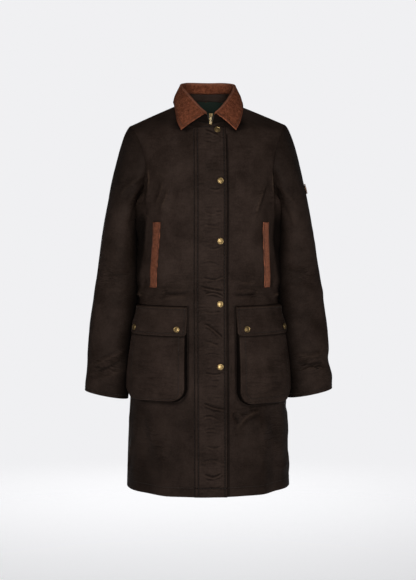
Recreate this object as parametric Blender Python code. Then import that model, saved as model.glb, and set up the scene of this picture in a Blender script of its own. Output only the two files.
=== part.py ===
"""A long waxed-cotton jacket, filled out as if it were being worn and hollow inside.

Metres, +Z up. The front faces -Y and +X is the wearer's left. The origin lies between the shoulders,
level with the points where the shoulder seams meet the collar.
"""
import math
from collections import namedtuple

import bmesh
import bpy
import numpy as np
from mathutils import Matrix, Vector

# Cloth and seams
BODY_CLOTH = 0.0018        # waxed cotton with its lining
STAND_CLOTH = 0.0020
COLLAR_CLOTH = 0.0024
FLAP_CLOTH = 0.0020
POCKET_CLOTH = 0.0015
LINING_CLOTH = 0.0010
WELT_CLOTH = 0.0022
PATCH_CLOTH = 0.0018
TAPE_CLOTH = 0.0010
SEAM_GAP = 0.0003
ARMHOLE_GAP = 0.0004       # between a sleeve and its armhole
STAND_GAP = 0.0004         # under the collar stand
LAID_GAP = 0.0004          # under a piece that lies on a panel

# Panel grids
FRONT_COLUMNS = 10
BACK_COLUMNS = 10          # on each half
EDGE_COLUMNS = 2           # columns inside the storm flap's half width
FINE = 4                   # steps between two grid lines when the slope is measured
QUARTER_ARC = 1.657        # pull of a cubic that follows a quarter circle

# Storm flap and zip
FLAP_HALF_WIDTH = 0.035
FLAP_GAP = 0.0008          # under the storm flap
FLAP_DROP = 0.07           # the flap's top lies this share of a grid row below the neck seam
FRONT_EDGE = 0.004         # half the gap between the fronts
CHAIN_HALF_WIDTH = 0.0029
CHAIN_STEP = 0.0003        # from the chain's side to the tape
TAPE_REACH = 0.008         # tape behind a front, from its edge
CHAIN_SINK = 0.0005        # the chain's face lies this far behind the cloth's face

# Snaps: cap radius, then (share of the radius, height) down the cap
SNAP_RADIUS = 0.0075
SNAP_SIDES = 14
SNAP_PROFILE = [(0.55, 0.0), (1.00, 0.0002), (1.00, 0.0016), (0.90, 0.0026), (0.74, 0.0026),
                (0.68, 0.0021), (0.35, 0.0024)]
SNAP_CENTRE = 0.0026

# Zip slider and pull tab, about the hinge at the slider's bridge
SLIDER = (0.0088, 0.0030, 0.0120)      # across, deep, high
SLIDER_NECK = 0.30                     # half width of the slider's lower end, as a share of its width
BRIDGE_WIDTH = 0.0020
BRIDGE_BAR = 0.0010
BRIDGE_RISE = 0.0034                   # outer face of the bar above the slider's face
BRIDGE_HALF_HEIGHT = 0.0036
BRIDGE_LEG = 0.0012
HINGE_HEIGHT = -0.0315
PULL_PIN_RADIUS = 0.0006
PULL_ARM_INNER = 0.0015
PULL_ARM_OUTER = 0.0026
PULL_DEEP = 0.0012
PULL_WINDOW = 0.0050                   # from the hinge to the lower end of the window
PULL_LENGTH = 0.0185

# One row per section of a panel. edge is the centre line and then the neckline; side is the side seam and
# then the armhole. bow 1 bends the row like a quarter circle, 0 leaves it straight. rows counts the grid
# rows from the section before.
Section = namedtuple("Section", "name edge_x edge_y edge_z side_x side_y side_z bow rows")
FRONT_SECTIONS = [
    Section("hem",       0.004, -0.160, -0.926, 0.200,  0.000, -0.926, 1.06, 0),
    Section("thigh",     0.004, -0.158, -0.800, 0.196,  0.000, -0.800, 1.05, 3),
    Section("hip",       0.004, -0.151, -0.660, 0.188,  0.000, -0.660, 1.03, 4),
    Section("high_hip",  0.004, -0.142, -0.540, 0.179,  0.000, -0.540, 1.00, 3),
    Section("waist",     0.004, -0.135, -0.430, 0.170,  0.000, -0.430, 1.00, 3),
    Section("rib",       0.004, -0.141, -0.325, 0.168,  0.000, -0.330, 1.00, 3),
    Section("underarm",  0.004, -0.146, -0.225, 0.170,  0.000, -0.240, 1.00, 3),
    Section("chest",     0.004, -0.134, -0.135, 0.153, -0.066, -0.165, 0.78, 3),
    Section("neck_base", 0.004, -0.102, -0.050, 0.159, -0.066, -0.112, 0.70, 3),
    Section("neck_side", 0.046, -0.081, -0.036, 0.173, -0.042, -0.074, 0.40, 3),
    Section("shoulder",  0.073, -0.004,  0.003, 0.187,  0.004, -0.047, 0.05, 3),
]
BACK_SECTIONS = [
    Section("hem",       0.000, 0.150, -0.926, 0.200, 0.000, -0.926, 1.05, 0),
    Section("thigh",     0.000, 0.150, -0.800, 0.196, 0.000, -0.800, 1.05, 3),
    Section("hip",       0.000, 0.147, -0.660, 0.188, 0.000, -0.660, 1.03, 4),
    Section("high_hip",  0.000, 0.134, -0.540, 0.179, 0.000, -0.540, 1.00, 3),
    Section("waist",     0.000, 0.121, -0.430, 0.170, 0.000, -0.430, 1.00, 3),
    Section("rib",       0.000, 0.125, -0.325, 0.168, 0.000, -0.330, 1.00, 3),
    Section("underarm",  0.000, 0.133, -0.225, 0.170, 0.000, -0.240, 1.00, 3),
    Section("blade",     0.000, 0.131, -0.120, 0.158, 0.074, -0.165, 0.78, 3),
    Section("yoke",      0.000, 0.111, -0.035, 0.165, 0.066, -0.110, 0.65, 2),
    Section("neck_base", 0.000, 0.088,  0.021, 0.176, 0.044, -0.075, 0.45, 2),
    Section("neck_side", 0.047, 0.067,  0.017, 0.183, 0.022, -0.058, 0.28, 3),
    Section("shoulder",  0.073, -0.004, 0.003, 0.187, 0.004, -0.047, 0.05, 3),
]
UNDERARM = 6               # section where the side seam ends and the armhole begins
FRONT_NECK = 8             # section where the front edge ends and the neckline begins
BACK_NECK = 9
LEFT_SHOULDER_LIFT = 0.005 # the wearer's left shoulder tip sits this much higher

# Rings of a sleeve below the cap: centre, half width and half depth, tilt with the outer side up, and how
# much further out the wearer's left arm reaches
Ring = namedtuple("Ring", "name x y z half_width half_depth tilt left_out rows")
SLEEVE_RINGS = [
    Ring("upper_arm", 0.2128, 0.012, -0.295, 0.0425, 0.066, 12.0, 0.003, 0),
    Ring("elbow",     0.2228, 0.026, -0.430, 0.0543, 0.058,  8.0, 0.006, 3),
    Ring("forearm",   0.2379, 0.020, -0.560, 0.0549, 0.052,  7.0, 0.007, 3),
    Ring("wrist",     0.2439, 0.012, -0.640, 0.0538, 0.048,  9.0, 0.007, 2),
    Ring("cuff",      0.2493, 0.008, -0.703, 0.0543, 0.047, 11.0, 0.007, 2),
]
CAP_ROWS = 5
SLEEVE_SEAM = 0.0005       # share of the ring left open along the underarm seam

# How the sleeve leaves the armhole, at shares of the way round it from the underarm over the front
CapPull = namedtuple("CapPull", "name share x y z")
CAP_PULLS = [
    CapPull("underarm", 0.00, 0.034,  0.000,  0.004),
    CapPull("front",    0.25, 0.050, -0.024, -0.050),
    CapPull("shoulder", 0.50, 0.078,  0.000, -0.034),
    CapPull("back",     0.75, 0.050,  0.024, -0.050),
    CapPull("underarm", 1.00, 0.034,  0.000,  0.004),
]

# The collar at shares of the neck seam from the centre front to the centre back: the roll line, the lower
# edge of the fall, and how far the brown cloth runs down inside the neck
Turn = namedtuple("Turn", "share roll_x roll_y roll_z edge_x edge_y edge_z inside")
COLLAR_TURNS = [
    Turn(0.00, 0.0100, -0.1000, -0.0255, 0.0655, -0.1060, -0.0645, 0.003),
    Turn(0.15, 0.0265, -0.0880, -0.0090, 0.0750, -0.0870, -0.0450, 0.005),
    Turn(0.30, 0.0430, -0.0660,  0.0125, 0.0815, -0.0560, -0.0180, 0.009),
    Turn(0.45, 0.0560, -0.0360,  0.0330, 0.0845, -0.0180,  0.0025, 0.014),
    Turn(0.60, 0.0630,  0.0060,  0.0490, 0.0840,  0.0260,  0.0100, 0.019),
    Turn(0.80, 0.0480,  0.0520,  0.0590, 0.0580,  0.0860,  0.0060, 0.023),
    Turn(1.00, 0.0000,  0.0740,  0.0615, 0.0000,  0.1080,  0.0030, 0.025),
]
ROLL_RADIUS = 0.0039
ROLL_STEPS = 4
FALL_STEPS = 5
FALL_BULGE = 0.003
COLLAR_LEAN = -0.005       # the points lie this far towards the wearer's right
LEAN_SHARE = 0.45          # the lean has died away at this share of the neck seam

# Largest folds of a panel, each a soft ridge (+) or trough (-) between two points given as the distance
# from the centre line along the cloth and the height
Fold = namedtuple("Fold", "name from_d from_z to_d to_z width rise")
FRONT_LEFT_FOLDS = [
    Fold("hem flute",        0.120, -0.950, 0.105, -0.760, 0.024,  0.0050),
    Fold("hem hollow",       0.175, -0.950, 0.160, -0.740, 0.024, -0.0050),
    Fold("under the pocket", 0.060, -0.725, 0.115, -0.800, 0.018, -0.0040),
    Fold("waist drag",       0.050, -0.430, 0.170, -0.445, 0.018, -0.0035),
    Fold("chest drag",       0.105, -0.150, 0.125, -0.270, 0.020,  0.0030),
]
FRONT_RIGHT_FOLDS = [
    Fold("hem flute",        0.105, -0.950, 0.100, -0.770, 0.024,  0.0045),
    Fold("hem hollow",       0.165, -0.950, 0.170, -0.740, 0.026, -0.0050),
    Fold("waist drag",       0.045, -0.440, 0.180, -0.425, 0.018, -0.0035),
    Fold("chest drag",       0.100, -0.160, 0.130, -0.280, 0.020,  0.0030),
]
BACK_LEFT_FOLDS = [
    Fold("hem flute",        0.080, -0.950, 0.085, -0.700, 0.026,  0.0060),
    Fold("hem hollow",       0.160, -0.950, 0.150, -0.720, 0.026, -0.0050),
    Fold("waist drag",       0.030, -0.430, 0.170, -0.450, 0.020, -0.0040),
    Fold("blade drag",       0.090, -0.280, 0.140, -0.170, 0.022, -0.0030),
]
BACK_RIGHT_FOLDS = [
    Fold("hem flute",        0.090, -0.950, 0.080, -0.720, 0.026,  0.0055),
    Fold("hem hollow",       0.165, -0.950, 0.160, -0.700, 0.026, -0.0050),
    Fold("waist drag",       0.020, -0.445, 0.160, -0.425, 0.020, -0.0040),
    Fold("blade drag",       0.095, -0.270, 0.135, -0.180, 0.022, -0.0030),
]
# On a sleeve the distance runs from the underarm seam over the front
SLEEVE_LEFT_FOLDS = [
    Fold("elbow",      0.050, -0.400, 0.140, -0.420, 0.020, -0.0035),
    Fold("elbow low",  0.040, -0.465, 0.150, -0.450, 0.020,  0.0030),
    Fold("wrist",      0.060, -0.625, 0.160, -0.620, 0.016, -0.0040),
    Fold("wrist low",  0.050, -0.655, 0.150, -0.660, 0.016,  0.0030),
    Fold("back elbow", 0.210, -0.430, 0.290, -0.410, 0.022, -0.0040),
]
SLEEVE_RIGHT_FOLDS = [
    Fold("elbow",      0.050, -0.420, 0.140, -0.395, 0.020, -0.0035),
    Fold("wrist",      0.020, -0.600, 0.110, -0.640, 0.016, -0.0045),
    Fold("wrist low",  0.030, -0.640, 0.120, -0.672, 0.016,  0.0030),
    Fold("back elbow", 0.210, -0.415, 0.290, -0.435, 0.022, -0.0040),
]
FOLD_FADE = 0.045          # folds die away this far from a seam

# Hand-pocket welts: distances from the front edge along the cloth at the top and the bottom
WELT_TOP = (0.134, -0.281)
WELT_BOTTOM = (0.1415, -0.437)
WELT_WIDTH = 0.018
WELT_ROWS = 7
WELT_GAP = 0.0006

# Bellows pockets and their flaps
POCKET_INNER = 0.058
POCKET_OUTER = 0.214
POCKET_MOUTH = -0.492
POCKET_BOTTOM = -0.712
POCKET_CORNER = 0.036
POCKET_MOUTH_DEPTH = 0.011
POCKET_DEPTH = 0.020
POCKET_CROWN = 0.003
GUSSET = 0.009             # width over which the gusset rises
POCKET_GAP = 0.0012        # under the pocket's turned edge and the flap's seam
POCKET_COLUMNS = [0.0, 0.004, 0.022, 0.08, 0.18, 0.29, 0.40, 0.50, 0.60, 0.71, 0.82, 0.92, 0.978, 0.996, 1.0]
POCKET_ROWS = [0.0, 0.001, 0.005, 0.016, 0.036, 0.075, 0.115, 0.155, 0.190, 0.220]
FLAP_TOP = -0.478
FLAP_BOTTOM = -0.549
FLAP_INNER = 0.0565
FLAP_OUTER = 0.2135
FLAP_CORNER = 0.010
FLAP_COLUMNS = [0.0, 0.03, 0.10, 0.19, 0.28, 0.37, 0.46, 0.55, 0.64, 0.73, 0.82, 0.90, 0.97, 1.0]
FLAP_RISE = 0.012          # height over which the flap rises to clear the pocket's mouth
FLAP_ROWS = [0.0, 0.006, 0.012, 0.030, 0.048, 0.064, 0.071]

# Snaps: distance from the centre front along the cloth, height
FRONT_SNAPS = [(0.0145, -0.0655), (0.0195, -0.1855), (0.0195, -0.3255), (0.0195, -0.4735), (0.0195, -0.6200)]
POCKET_SNAPS = {"inner": 0.078, "outer": 0.196}
POCKET_SNAP_HEIGHT = -0.5335

# Plain patch on the outside of the wearer's left sleeve
PATCH_HEIGHT = -0.200
PATCH_HALF = (0.013, 0.012)
PATCH_SHARE = 0.485        # of the way round from the underarm seam
PATCH_GRID = [-1.0, -0.67, -0.33, 0.0, 0.33, 0.67, 1.0]
PATCH_GAP = 0.0011
PATCH_TRIM = 0.86          # corner cut of the patch

LINING_ROWS = 10           # rows of the back's grid that carry the lining
LINING_INSET = 1           # columns left bare beside the armhole

# Colours: linear base colour, roughness, metallic
WAXED = ((0.020, 0.016, 0.013), 0.50, 0.0)
NEEDLECORD = ((0.060, 0.030, 0.017), 0.85, 0.0)
GREEN_LINING = ((0.012, 0.020, 0.015), 0.80, 0.0)
BRASS = ((0.36, 0.22, 0.09), 0.35, 1.0)
ZIP_TAPE = ((0.020, 0.017, 0.014), 0.70, 0.0)
PATCH_LEATHER = ((0.075, 0.040, 0.022), 0.70, 0.0)

RIGHT = -1
LEFT = 1
FRONT = -1
BACK = 1


class Sheet:
    """A grid of points on a piece of cloth with the outward slope at each."""

    def __init__(self, points, normals):
        self.points = points
        self.normals = normals

    def column(self, distance):
        """Points and normals at this distance along every row."""
        points, normals = [], []
        for row, slope in zip(self.points, self.normals):
            run = run_along(row)
            points.append([np.interp(distance, run, row[:, k]) for k in range(3)])
            normals.append([np.interp(distance, run, slope[:, k]) for k in range(3)])
        return np.array(points), unit(np.array(normals))

    def at(self, distance, height):
        """The point and normal at this distance along the rows and this height."""
        points, normals = self.column(distance)
        point = np.array([np.interp(height, points[:, 2], points[:, k]) for k in range(3)])
        normal = np.array([np.interp(height, points[:, 2], normals[:, k]) for k in range(3)])
        return point, unit(normal)

    def turned(self):
        """The same cloth read from its other end."""
        return Sheet(self.points[:, ::-1], self.normals[:, ::-1])


def unit(vectors):
    return vectors / np.maximum(np.linalg.norm(vectors, axis=-1, keepdims=True), 1e-12)


def run_along(row):
    return np.concatenate([[0.0], np.cumsum(np.linalg.norm(np.diff(row, axis=0), axis=1))])


def ease(x):
    x = np.clip(x, 0.0, 1.0)
    return x * x * (3.0 - 2.0 * x)


def cubic(start, start_pull, end, end_pull, f):
    """A cubic from start to end that leaves and arrives with the given pulls."""
    f = f[..., None]
    return ((2 * f**3 - 3 * f**2 + 1) * start + (f**3 - 2 * f**2 + f) * start_pull
            + (3 * f**2 - 2 * f**3) * end + (f**3 - f**2) * end_pull)


def smooth(values, at, knots=None):
    """Values on a smooth curve through the rows of a table."""
    values = np.asarray(values, float)
    knots = np.arange(len(values), dtype=float) if knots is None else np.asarray(knots, float)
    slopes = np.gradient(values, knots, axis=0)
    i = np.clip(np.searchsorted(knots, at, side="right") - 1, 0, len(knots) - 2)
    span = (knots[i + 1] - knots[i])[:, None]
    return cubic(values[i], slopes[i] * span, values[i + 1], slopes[i + 1] * span, (at - knots[i]) / span[:, 0])


def rail(values, corner, at):
    """A curve through the table's rows with a corner at one of them."""
    values = np.asarray(values, float)
    low = smooth(values[:corner + 1], np.minimum(at, corner))
    high = smooth(values[corner:], np.maximum(at - corner, 0.0))
    return np.where((at <= corner)[:, None], low, high)


def grid_lines(table):
    """Places of the grid rows, counted in rows of the table."""
    lines = [0.0]
    for index, row in enumerate(table[1:], start=1):
        lines += [index - 1 + (step + 1) / row.rows for step in range(row.rows)]
    return np.array(lines)


def refine(lines):
    """The same places with FINE steps between each two."""
    index = np.linspace(0, len(lines) - 1, (len(lines) - 1) * FINE + 1)
    return np.interp(index, np.arange(len(lines)), lines)


def slopes_of(points, sign):
    down = np.gradient(points, axis=0)
    along = np.gradient(points, axis=1)
    return unit(np.cross(along, down)) * sign


def fold_rise(folds, distance, height):
    """How far the folds lift the cloth at each place."""
    rise = np.zeros_like(distance)
    for fold in folds:
        run = np.array([fold.to_d - fold.from_d, fold.to_z - fold.from_z])
        share = ((distance - fold.from_d) * run[0] + (height - fold.from_z) * run[1]) / (run @ run)
        near = np.clip(share, 0.0, 1.0)
        off = np.hypot(distance - fold.from_d - near * run[0], height - fold.from_z - near * run[1])
        rise += fold.rise * np.exp(-((off / fold.width) ** 2))
    return rise


def half_panel(sections, neck, columns, side, facing, folds):
    """One front, or half the back, from its centre line to its side seam and armhole."""
    lines = refine(grid_lines(sections))
    edge = rail([(s.edge_x, s.edge_y, s.edge_z) for s in sections], neck, lines)
    seam = rail([(s.side_x, s.side_y, s.side_z) for s in sections], UNDERARM, lines)
    if side == LEFT:
        seam[:, 2] += LEFT_SHOULDER_LIFT * ease((lines - UNDERARM) / (lines[-1] - UNDERARM))
    bow = smooth([(s.bow,) for s in sections], lines)
    chord = seam - edge
    round_edge = chord * np.array([QUARTER_ARC, 0.0, 1.0])
    round_seam = chord * np.array([0.0, QUARTER_ARC, 1.0])
    edge_pull = chord * (1 - bow) + round_edge * bow
    seam_pull = chord * (1 - bow) + round_seam * bow
    f = np.linspace(0.0, 1.0, 121)
    inner = FLAP_HALF_WIDTH - FRONT_EDGE
    wanted = refine(np.arange(columns + 1, dtype=float))
    points, distance = [], []
    for a, pa, b, pb in zip(edge, edge_pull, seam, seam_pull):
        row = cubic(a, pa, b, pb, f)
        run = run_along(row)
        even = inner + (wanted - EDGE_COLUMNS) / (columns - EDGE_COLUMNS) * (run[-1] - inner)
        reach = np.where(wanted < EDGE_COLUMNS, wanted / EDGE_COLUMNS * inner, even)
        points.append(np.stack([np.interp(reach, run, row[:, k]) for k in range(3)], axis=1))
        distance.append(reach)
    points = np.array(points) * np.array([side, 1.0, 1.0])
    points[..., 1] += facing * SEAM_GAP / 2
    distance = np.array(distance)
    sign = -side * facing
    fade = ease((distance[:, -1:] - distance) / FOLD_FADE)
    fade = fade * (ease(distance / FOLD_FADE) if facing == FRONT else 1.0)
    rise = fold_rise(folds, distance, points[..., 2]) * fade
    points = points + slopes_of(points, sign) * rise[..., None]
    normals = slopes_of(points, sign)
    if facing == BACK:
        closed = slice(0, row_of(sections, neck) * FINE + 1)
        normals[closed, 0, 0] = 0.0
        normals = unit(normals)
    return Sheet(points[::FINE, ::FINE], normals[::FINE, ::FINE])


def share_seams(front, back):
    """Give a front and a back the same slope along their side seam and their shoulder seam."""
    under = row_of(FRONT_SECTIONS, UNDERARM)
    for place in ((slice(0, under + 1), -1), (-1, slice(None))):
        both = unit(front.normals[place] + back.normals[place])
        front.normals[place] = both
        back.normals[place] = both


def row_of(sections, index):
    """Grid row on which a section lies."""
    return sum(s.rows for s in sections[:index + 1])


def sleeve_sheet(front, back, side, folds):
    """A sleeve lofted from its armhole over the cap and down through the rings to the cuff."""
    under_front = row_of(FRONT_SECTIONS, UNDERARM)
    under_back = row_of(BACK_SECTIONS, UNDERARM)
    up = front.points[under_front:, -1]
    down = back.points[under_back:, -1][::-1]
    top = (up[-1] + down[0]) / 2
    loop = np.concatenate([up[:-1], [top], down[1:]])
    run_up = run_along(loop[:len(up)])
    run_down = run_along(loop[len(up) - 1:])
    share = np.concatenate([0.5 * run_up / run_up[-1], 0.5 + 0.5 * run_down[1:] / run_down[-1]])
    index = refine(np.arange(len(loop), dtype=float))
    loop = smooth(loop, index)
    share = np.interp(index, np.arange(len(share)), share)
    turn = math.pi + 2 * math.pi * (SLEEVE_SEAM + share * (1 - 2 * SLEEVE_SEAM))
    rings = []
    for ring in SLEEVE_RINGS:
        tilt = math.radians(ring.tilt)
        outward = np.array([side * math.cos(tilt), 0.0, math.sin(tilt)])
        more = ring.left_out / 2 if side == LEFT else 0.0
        centre = np.array([side * (ring.x + more), ring.y, ring.z])
        rings.append(centre + (ring.half_width + more) * np.cos(turn)[:, None] * outward
                     + ring.half_depth * np.sin(turn)[:, None] * np.array([0.0, 1.0, 0.0]))
    rings = np.array(rings)
    pulls = smooth([(p.x * side, p.y, p.z) for p in CAP_PULLS], share, [p.share for p in CAP_PULLS])
    start = loop + unit(pulls) * ARMHOLE_GAP
    f = np.linspace(0.0, 1.0, CAP_ROWS * FINE + 1)
    cap = np.array([cubic(start, pulls, rings[0], rings[1] - rings[0], np.full(len(start), x)) for x in f])
    lines = refine(grid_lines(SLEEVE_RINGS))
    tube = smooth(rings.reshape(len(rings), -1), lines).reshape(len(lines), -1, 3)
    points = np.concatenate([cap, tube[1:]])
    distance = np.array([run_along(row) for row in points])
    fade = ease(np.minimum(distance, distance[:, -1:] - distance) / FOLD_FADE)
    fade = fade * ease((points[..., 2] - SLEEVE_RINGS[-1].z + FOLD_FADE / 2) / FOLD_FADE)
    rise = fold_rise(folds, distance, points[..., 2]) * fade
    points = points + slopes_of(points, -side) * rise[..., None]
    normals = slopes_of(points, -side)
    return Sheet(points[::FINE, ::FINE], normals[::FINE, ::FINE])


def neck_seam(front, back):
    """Half the neck seam, centre front to centre back."""
    fore = front.points[row_of(FRONT_SECTIONS, FRONT_NECK):, 0]
    aft = back.points[row_of(BACK_SECTIONS, BACK_NECK):, 0][::-1]
    return np.concatenate([fore[:-1], [(fore[-1] + aft[0]) / 2], aft[1:]])


def collar_half(seam, side):
    """Stand and collar columns of one half: the stand's rows, then the collar's rows."""
    run = run_along(seam)
    share = run / run[-1]
    table = smooth([t[1:] for t in COLLAR_TURNS], share, [t.share for t in COLLAR_TURNS])
    mirror = np.array([side, 1.0, 1.0])
    roll = table[:, 0:3] * mirror
    edge = table[:, 3:6] * mirror
    edge[:, 0] += COLLAR_LEAN * (1.0 - ease(share / LEAN_SHARE))
    inside = table[:, 6:7]
    up = np.array([0.0, 0.0, 1.0])
    along = np.gradient(roll, axis=0)
    out = unit(np.cross(along, up) * np.array([1.0, 1.0, 0.0])) * side
    rise = roll - seam
    height = np.linalg.norm(rise, axis=1, keepdims=True)
    top = roll - rise * inside / height
    foot = seam + up * STAND_GAP
    stand = np.stack([foot, (foot + top) / 2, top])
    rows = [top + up * SEAM_GAP - out * STAND_CLOTH, roll - out * STAND_CLOTH]
    centre = roll + out * (ROLL_RADIUS - STAND_CLOTH)
    for step in range(1, ROLL_STEPS + 1):
        angle = math.pi * step / ROLL_STEPS
        rows.append(centre - out * math.cos(angle) * ROLL_RADIUS + up * math.sin(angle) * ROLL_RADIUS)
    for step in range(1, FALL_STEPS + 1):
        f = step / FALL_STEPS
        rows.append(rows[ROLL_STEPS + 1] * (1 - f) + edge * f + out * FALL_BULGE * math.sin(math.pi * f))
    return stand, np.stack(rows)


def face_normals(points, sign):
    """Normals of a grid from its own faces, for pieces with sharp bends."""
    diagonal_a = points[1:, 1:] - points[:-1, :-1]
    diagonal_b = points[1:, :-1] - points[:-1, 1:]
    faces = unit(np.cross(diagonal_b, diagonal_a))
    total = np.zeros_like(points)
    for rows in (slice(None, -1), slice(1, None)):
        for columns in (slice(None, -1), slice(1, None)):
            total[rows, columns] += faces
    return unit(total) * sign


def grid_faces(rows, columns, start=0):
    faces = []
    for i in range(rows - 1):
        for j in range(columns - 1):
            a = start + i * columns + j
            faces += [(a, a + 1, a + 1 + columns), (a, a + 1 + columns, a + columns)]
    return faces


def material(name, finish):
    colour, roughness, metallic = finish
    made = bpy.data.materials.new(name)
    made.use_nodes = True
    shader = made.node_tree.nodes["Principled BSDF"]
    shader.inputs["Base Color"].default_value = (*colour, 1.0)
    shader.inputs["Roughness"].default_value = roughness
    shader.inputs["Metallic"].default_value = metallic
    made.diffuse_color = (*colour, 1.0)
    return made


def add_object(name, vertices, faces, finish, origin=(0.0, 0.0, 0.0)):
    mesh = bpy.data.meshes.new(name)
    mesh.from_pydata([tuple(np.asarray(v) - origin) for v in vertices], [], faces)
    shape = bmesh.new()
    shape.from_mesh(mesh)
    bmesh.ops.recalc_face_normals(shape, faces=shape.faces)
    for face in shape.faces:
        face.smooth = True
    shape.to_mesh(mesh)
    shape.free()
    mesh.materials.append(material(name, finish))
    made = bpy.data.objects.new(name, mesh)
    made.location = origin
    bpy.context.scene.collection.objects.link(made)
    return made


def add_cloth(name, outer, inner, faces, finish):
    """A closed wall between two faces of a piece of cloth."""
    count = len(outer)
    edges = {}
    for face in faces:
        for a, b in zip(face, face[1:] + face[:1]):
            edges.setdefault(frozenset((a, b)), []).append((a, b))
    rims = [(b, a, a + count, b + count) for used in edges.values() if len(used) == 1 for a, b in used]
    back = [tuple(i + count for i in reversed(face)) for face in faces]
    return add_object(name, np.concatenate([outer, inner]), list(faces) + back + rims, finish)


def add_sheet(name, sheet, outside, inside, finish):
    """A plain grid of cloth with its faces this far out from the sheet's points."""
    rows, columns = sheet.points.shape[:2]
    outer = (sheet.points + sheet.normals * outside).reshape(-1, 3)
    inner = (sheet.points + sheet.normals * inside).reshape(-1, 3)
    return add_cloth(name, outer, inner, grid_faces(rows, columns), finish)


def add_folded_pair(name, left, right, first_row, neck_row, columns, outside, inside, finish):
    """One piece cut on the fold: two halves joined along the centre line up to the neck."""
    sides = []
    for half in (right, left):
        points = half.points[first_row:, :columns + 1]
        normals = half.normals[first_row:, :columns + 1]
        sides.append((points + normals * outside, points + normals * inside))
    rows = sides[0][0].shape[0]
    half_count = rows * (columns + 1)
    outer = np.concatenate([s[0].reshape(-1, 3) for s in sides])
    inner = np.concatenate([s[1].reshape(-1, 3) for s in sides])
    joined = {half_count + i * (columns + 1): i * (columns + 1) for i in range(neck_row - first_row + 1)}
    faces = grid_faces(rows, columns + 1)
    faces += [tuple(joined.get(i, i) for i in reversed(f)) for f in grid_faces(rows, columns + 1, half_count)]
    kept = [i for i in range(2 * half_count) if i not in joined]
    order = {old: new for new, old in enumerate(kept)}
    faces = [tuple(order[i] for i in face) for face in faces]
    return add_cloth(name, outer[kept], inner[kept], faces, finish)


def add_storm_flap(right, left, top_row):
    """The long strip over the zip, from the points of both fronts."""
    reach = FLAP_HALF_WIDTH - FRONT_EDGE
    steps = [reach, reach / 2, 0.0]
    columns = [right.column(d) for d in steps] + [left.column(d) for d in reversed(steps)]
    points = np.stack([c[0] for c in columns], axis=1)[:top_row + 1]
    normals = np.stack([c[1] for c in columns], axis=1)[:top_row + 1]
    points[-1] += (points[-2] - points[-1]) * FLAP_DROP
    sheet = Sheet(points, normals)
    add_sheet("storm_flap", sheet, FLAP_GAP + FLAP_CLOTH, FLAP_GAP, WAXED)


def add_zip(right, left, stand, top_row):
    """Zip tape behind the fronts and the stand, with the chain standing between their edges."""
    rows = []
    for half, stand_half, side in ((right, stand, RIGHT), (left, stand.turned(), LEFT)):
        edge = [half.column(0.0), half.column(TAPE_REACH)]
        more = [stand_half.column(0.0), stand_half.column(TAPE_REACH)]
        points = [np.concatenate([e[0][:top_row], m[0]]) for e, m in zip(edge, more)]
        normals = [np.concatenate([e[1][:top_row], m[1]]) for e, m in zip(edge, more)]
        behind = STAND_CLOTH + SEAM_GAP * 2
        tape = points[1] - normals[1] * behind
        foot = points[0] - normals[0] * behind
        crown = points[0] - normals[0] * CHAIN_SINK
        foot[:, 0] = side * (CHAIN_HALF_WIDTH + CHAIN_STEP)
        crown[:, 0] = side * CHAIN_HALF_WIDTH
        hidden = [points[1] - normals[1] * (behind + TAPE_CLOTH), foot + (0.0, TAPE_CLOTH, 0.0)]
        rows.append(([tape, foot, crown], [hidden[0], hidden[1], hidden[1]]))
    outer = np.stack(rows[0][0] + rows[1][0][::-1], axis=1)
    inner = np.stack(rows[0][1] + rows[1][1][::-1], axis=1)
    inner[:, 2, 0] = -CHAIN_HALF_WIDTH
    inner[:, 3, 0] = CHAIN_HALF_WIDTH
    count, columns = outer.shape[:2]
    add_cloth("zip", outer.reshape(-1, 3), inner.reshape(-1, 3), grid_faces(count, columns), ZIP_TAPE)


def extrude_outline(outline, low_x, high_x):
    """A block with this (y, z) outline between two values of x."""
    count = len(outline)
    vertices = [(low_x, y, z) for y, z in outline] + [(high_x, y, z) for y, z in outline]
    sides = [(i, (i + 1) % count, (i + 1) % count + count, i + count) for i in range(count)]
    return vertices, sides + [tuple(range(count))[::-1], tuple(range(count, 2 * count))]


def add_slider(face_y):
    """The slider's body with the bridge that carries the pull tab."""
    wide, deep, high = SLIDER
    back = face_y + deep
    half = high / 2
    neck = wide * SLIDER_NECK
    body = [(-wide / 2, half), (-wide / 2, 0.0), (-neck, -half), (neck, -half), (wide / 2, 0.0),
            (wide / 2, half)]
    vertices = [(x, y, HINGE_HEIGHT + z) for y in (face_y, back) for x, z in body]
    count = len(body)
    sides = [(i, (i + 1) % count, (i + 1) % count + count, i + count) for i in range(count)]
    faces = sides + [tuple(range(count))[::-1], tuple(range(count, 2 * count))]
    slider = add_object("zip_slider", vertices, faces, BRASS)
    outer = face_y - BRIDGE_RISE
    hole = outer + BRIDGE_BAR
    root = face_y + deep / 2
    tall = BRIDGE_HALF_HEIGHT
    short = tall - BRIDGE_LEG
    outline = [(root, -tall), (outer, -tall), (outer, tall), (root, tall), (root, short), (hole, short),
               (hole, -short), (root, -short)]
    outline = [(y, HINGE_HEIGHT + z) for y, z in outline]
    vertices, faces = extrude_outline(outline, -BRIDGE_WIDTH / 2, BRIDGE_WIDTH / 2)
    bridge = add_object("zip_bridge", vertices, faces, BRASS)
    bridge.hide_render = True
    bridge.display_type = "WIRE"
    join = slider.modifiers.new("bridge", "BOOLEAN")
    join.operation = "UNION"
    join.solver = "EXACT"
    join.object = bridge


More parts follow.
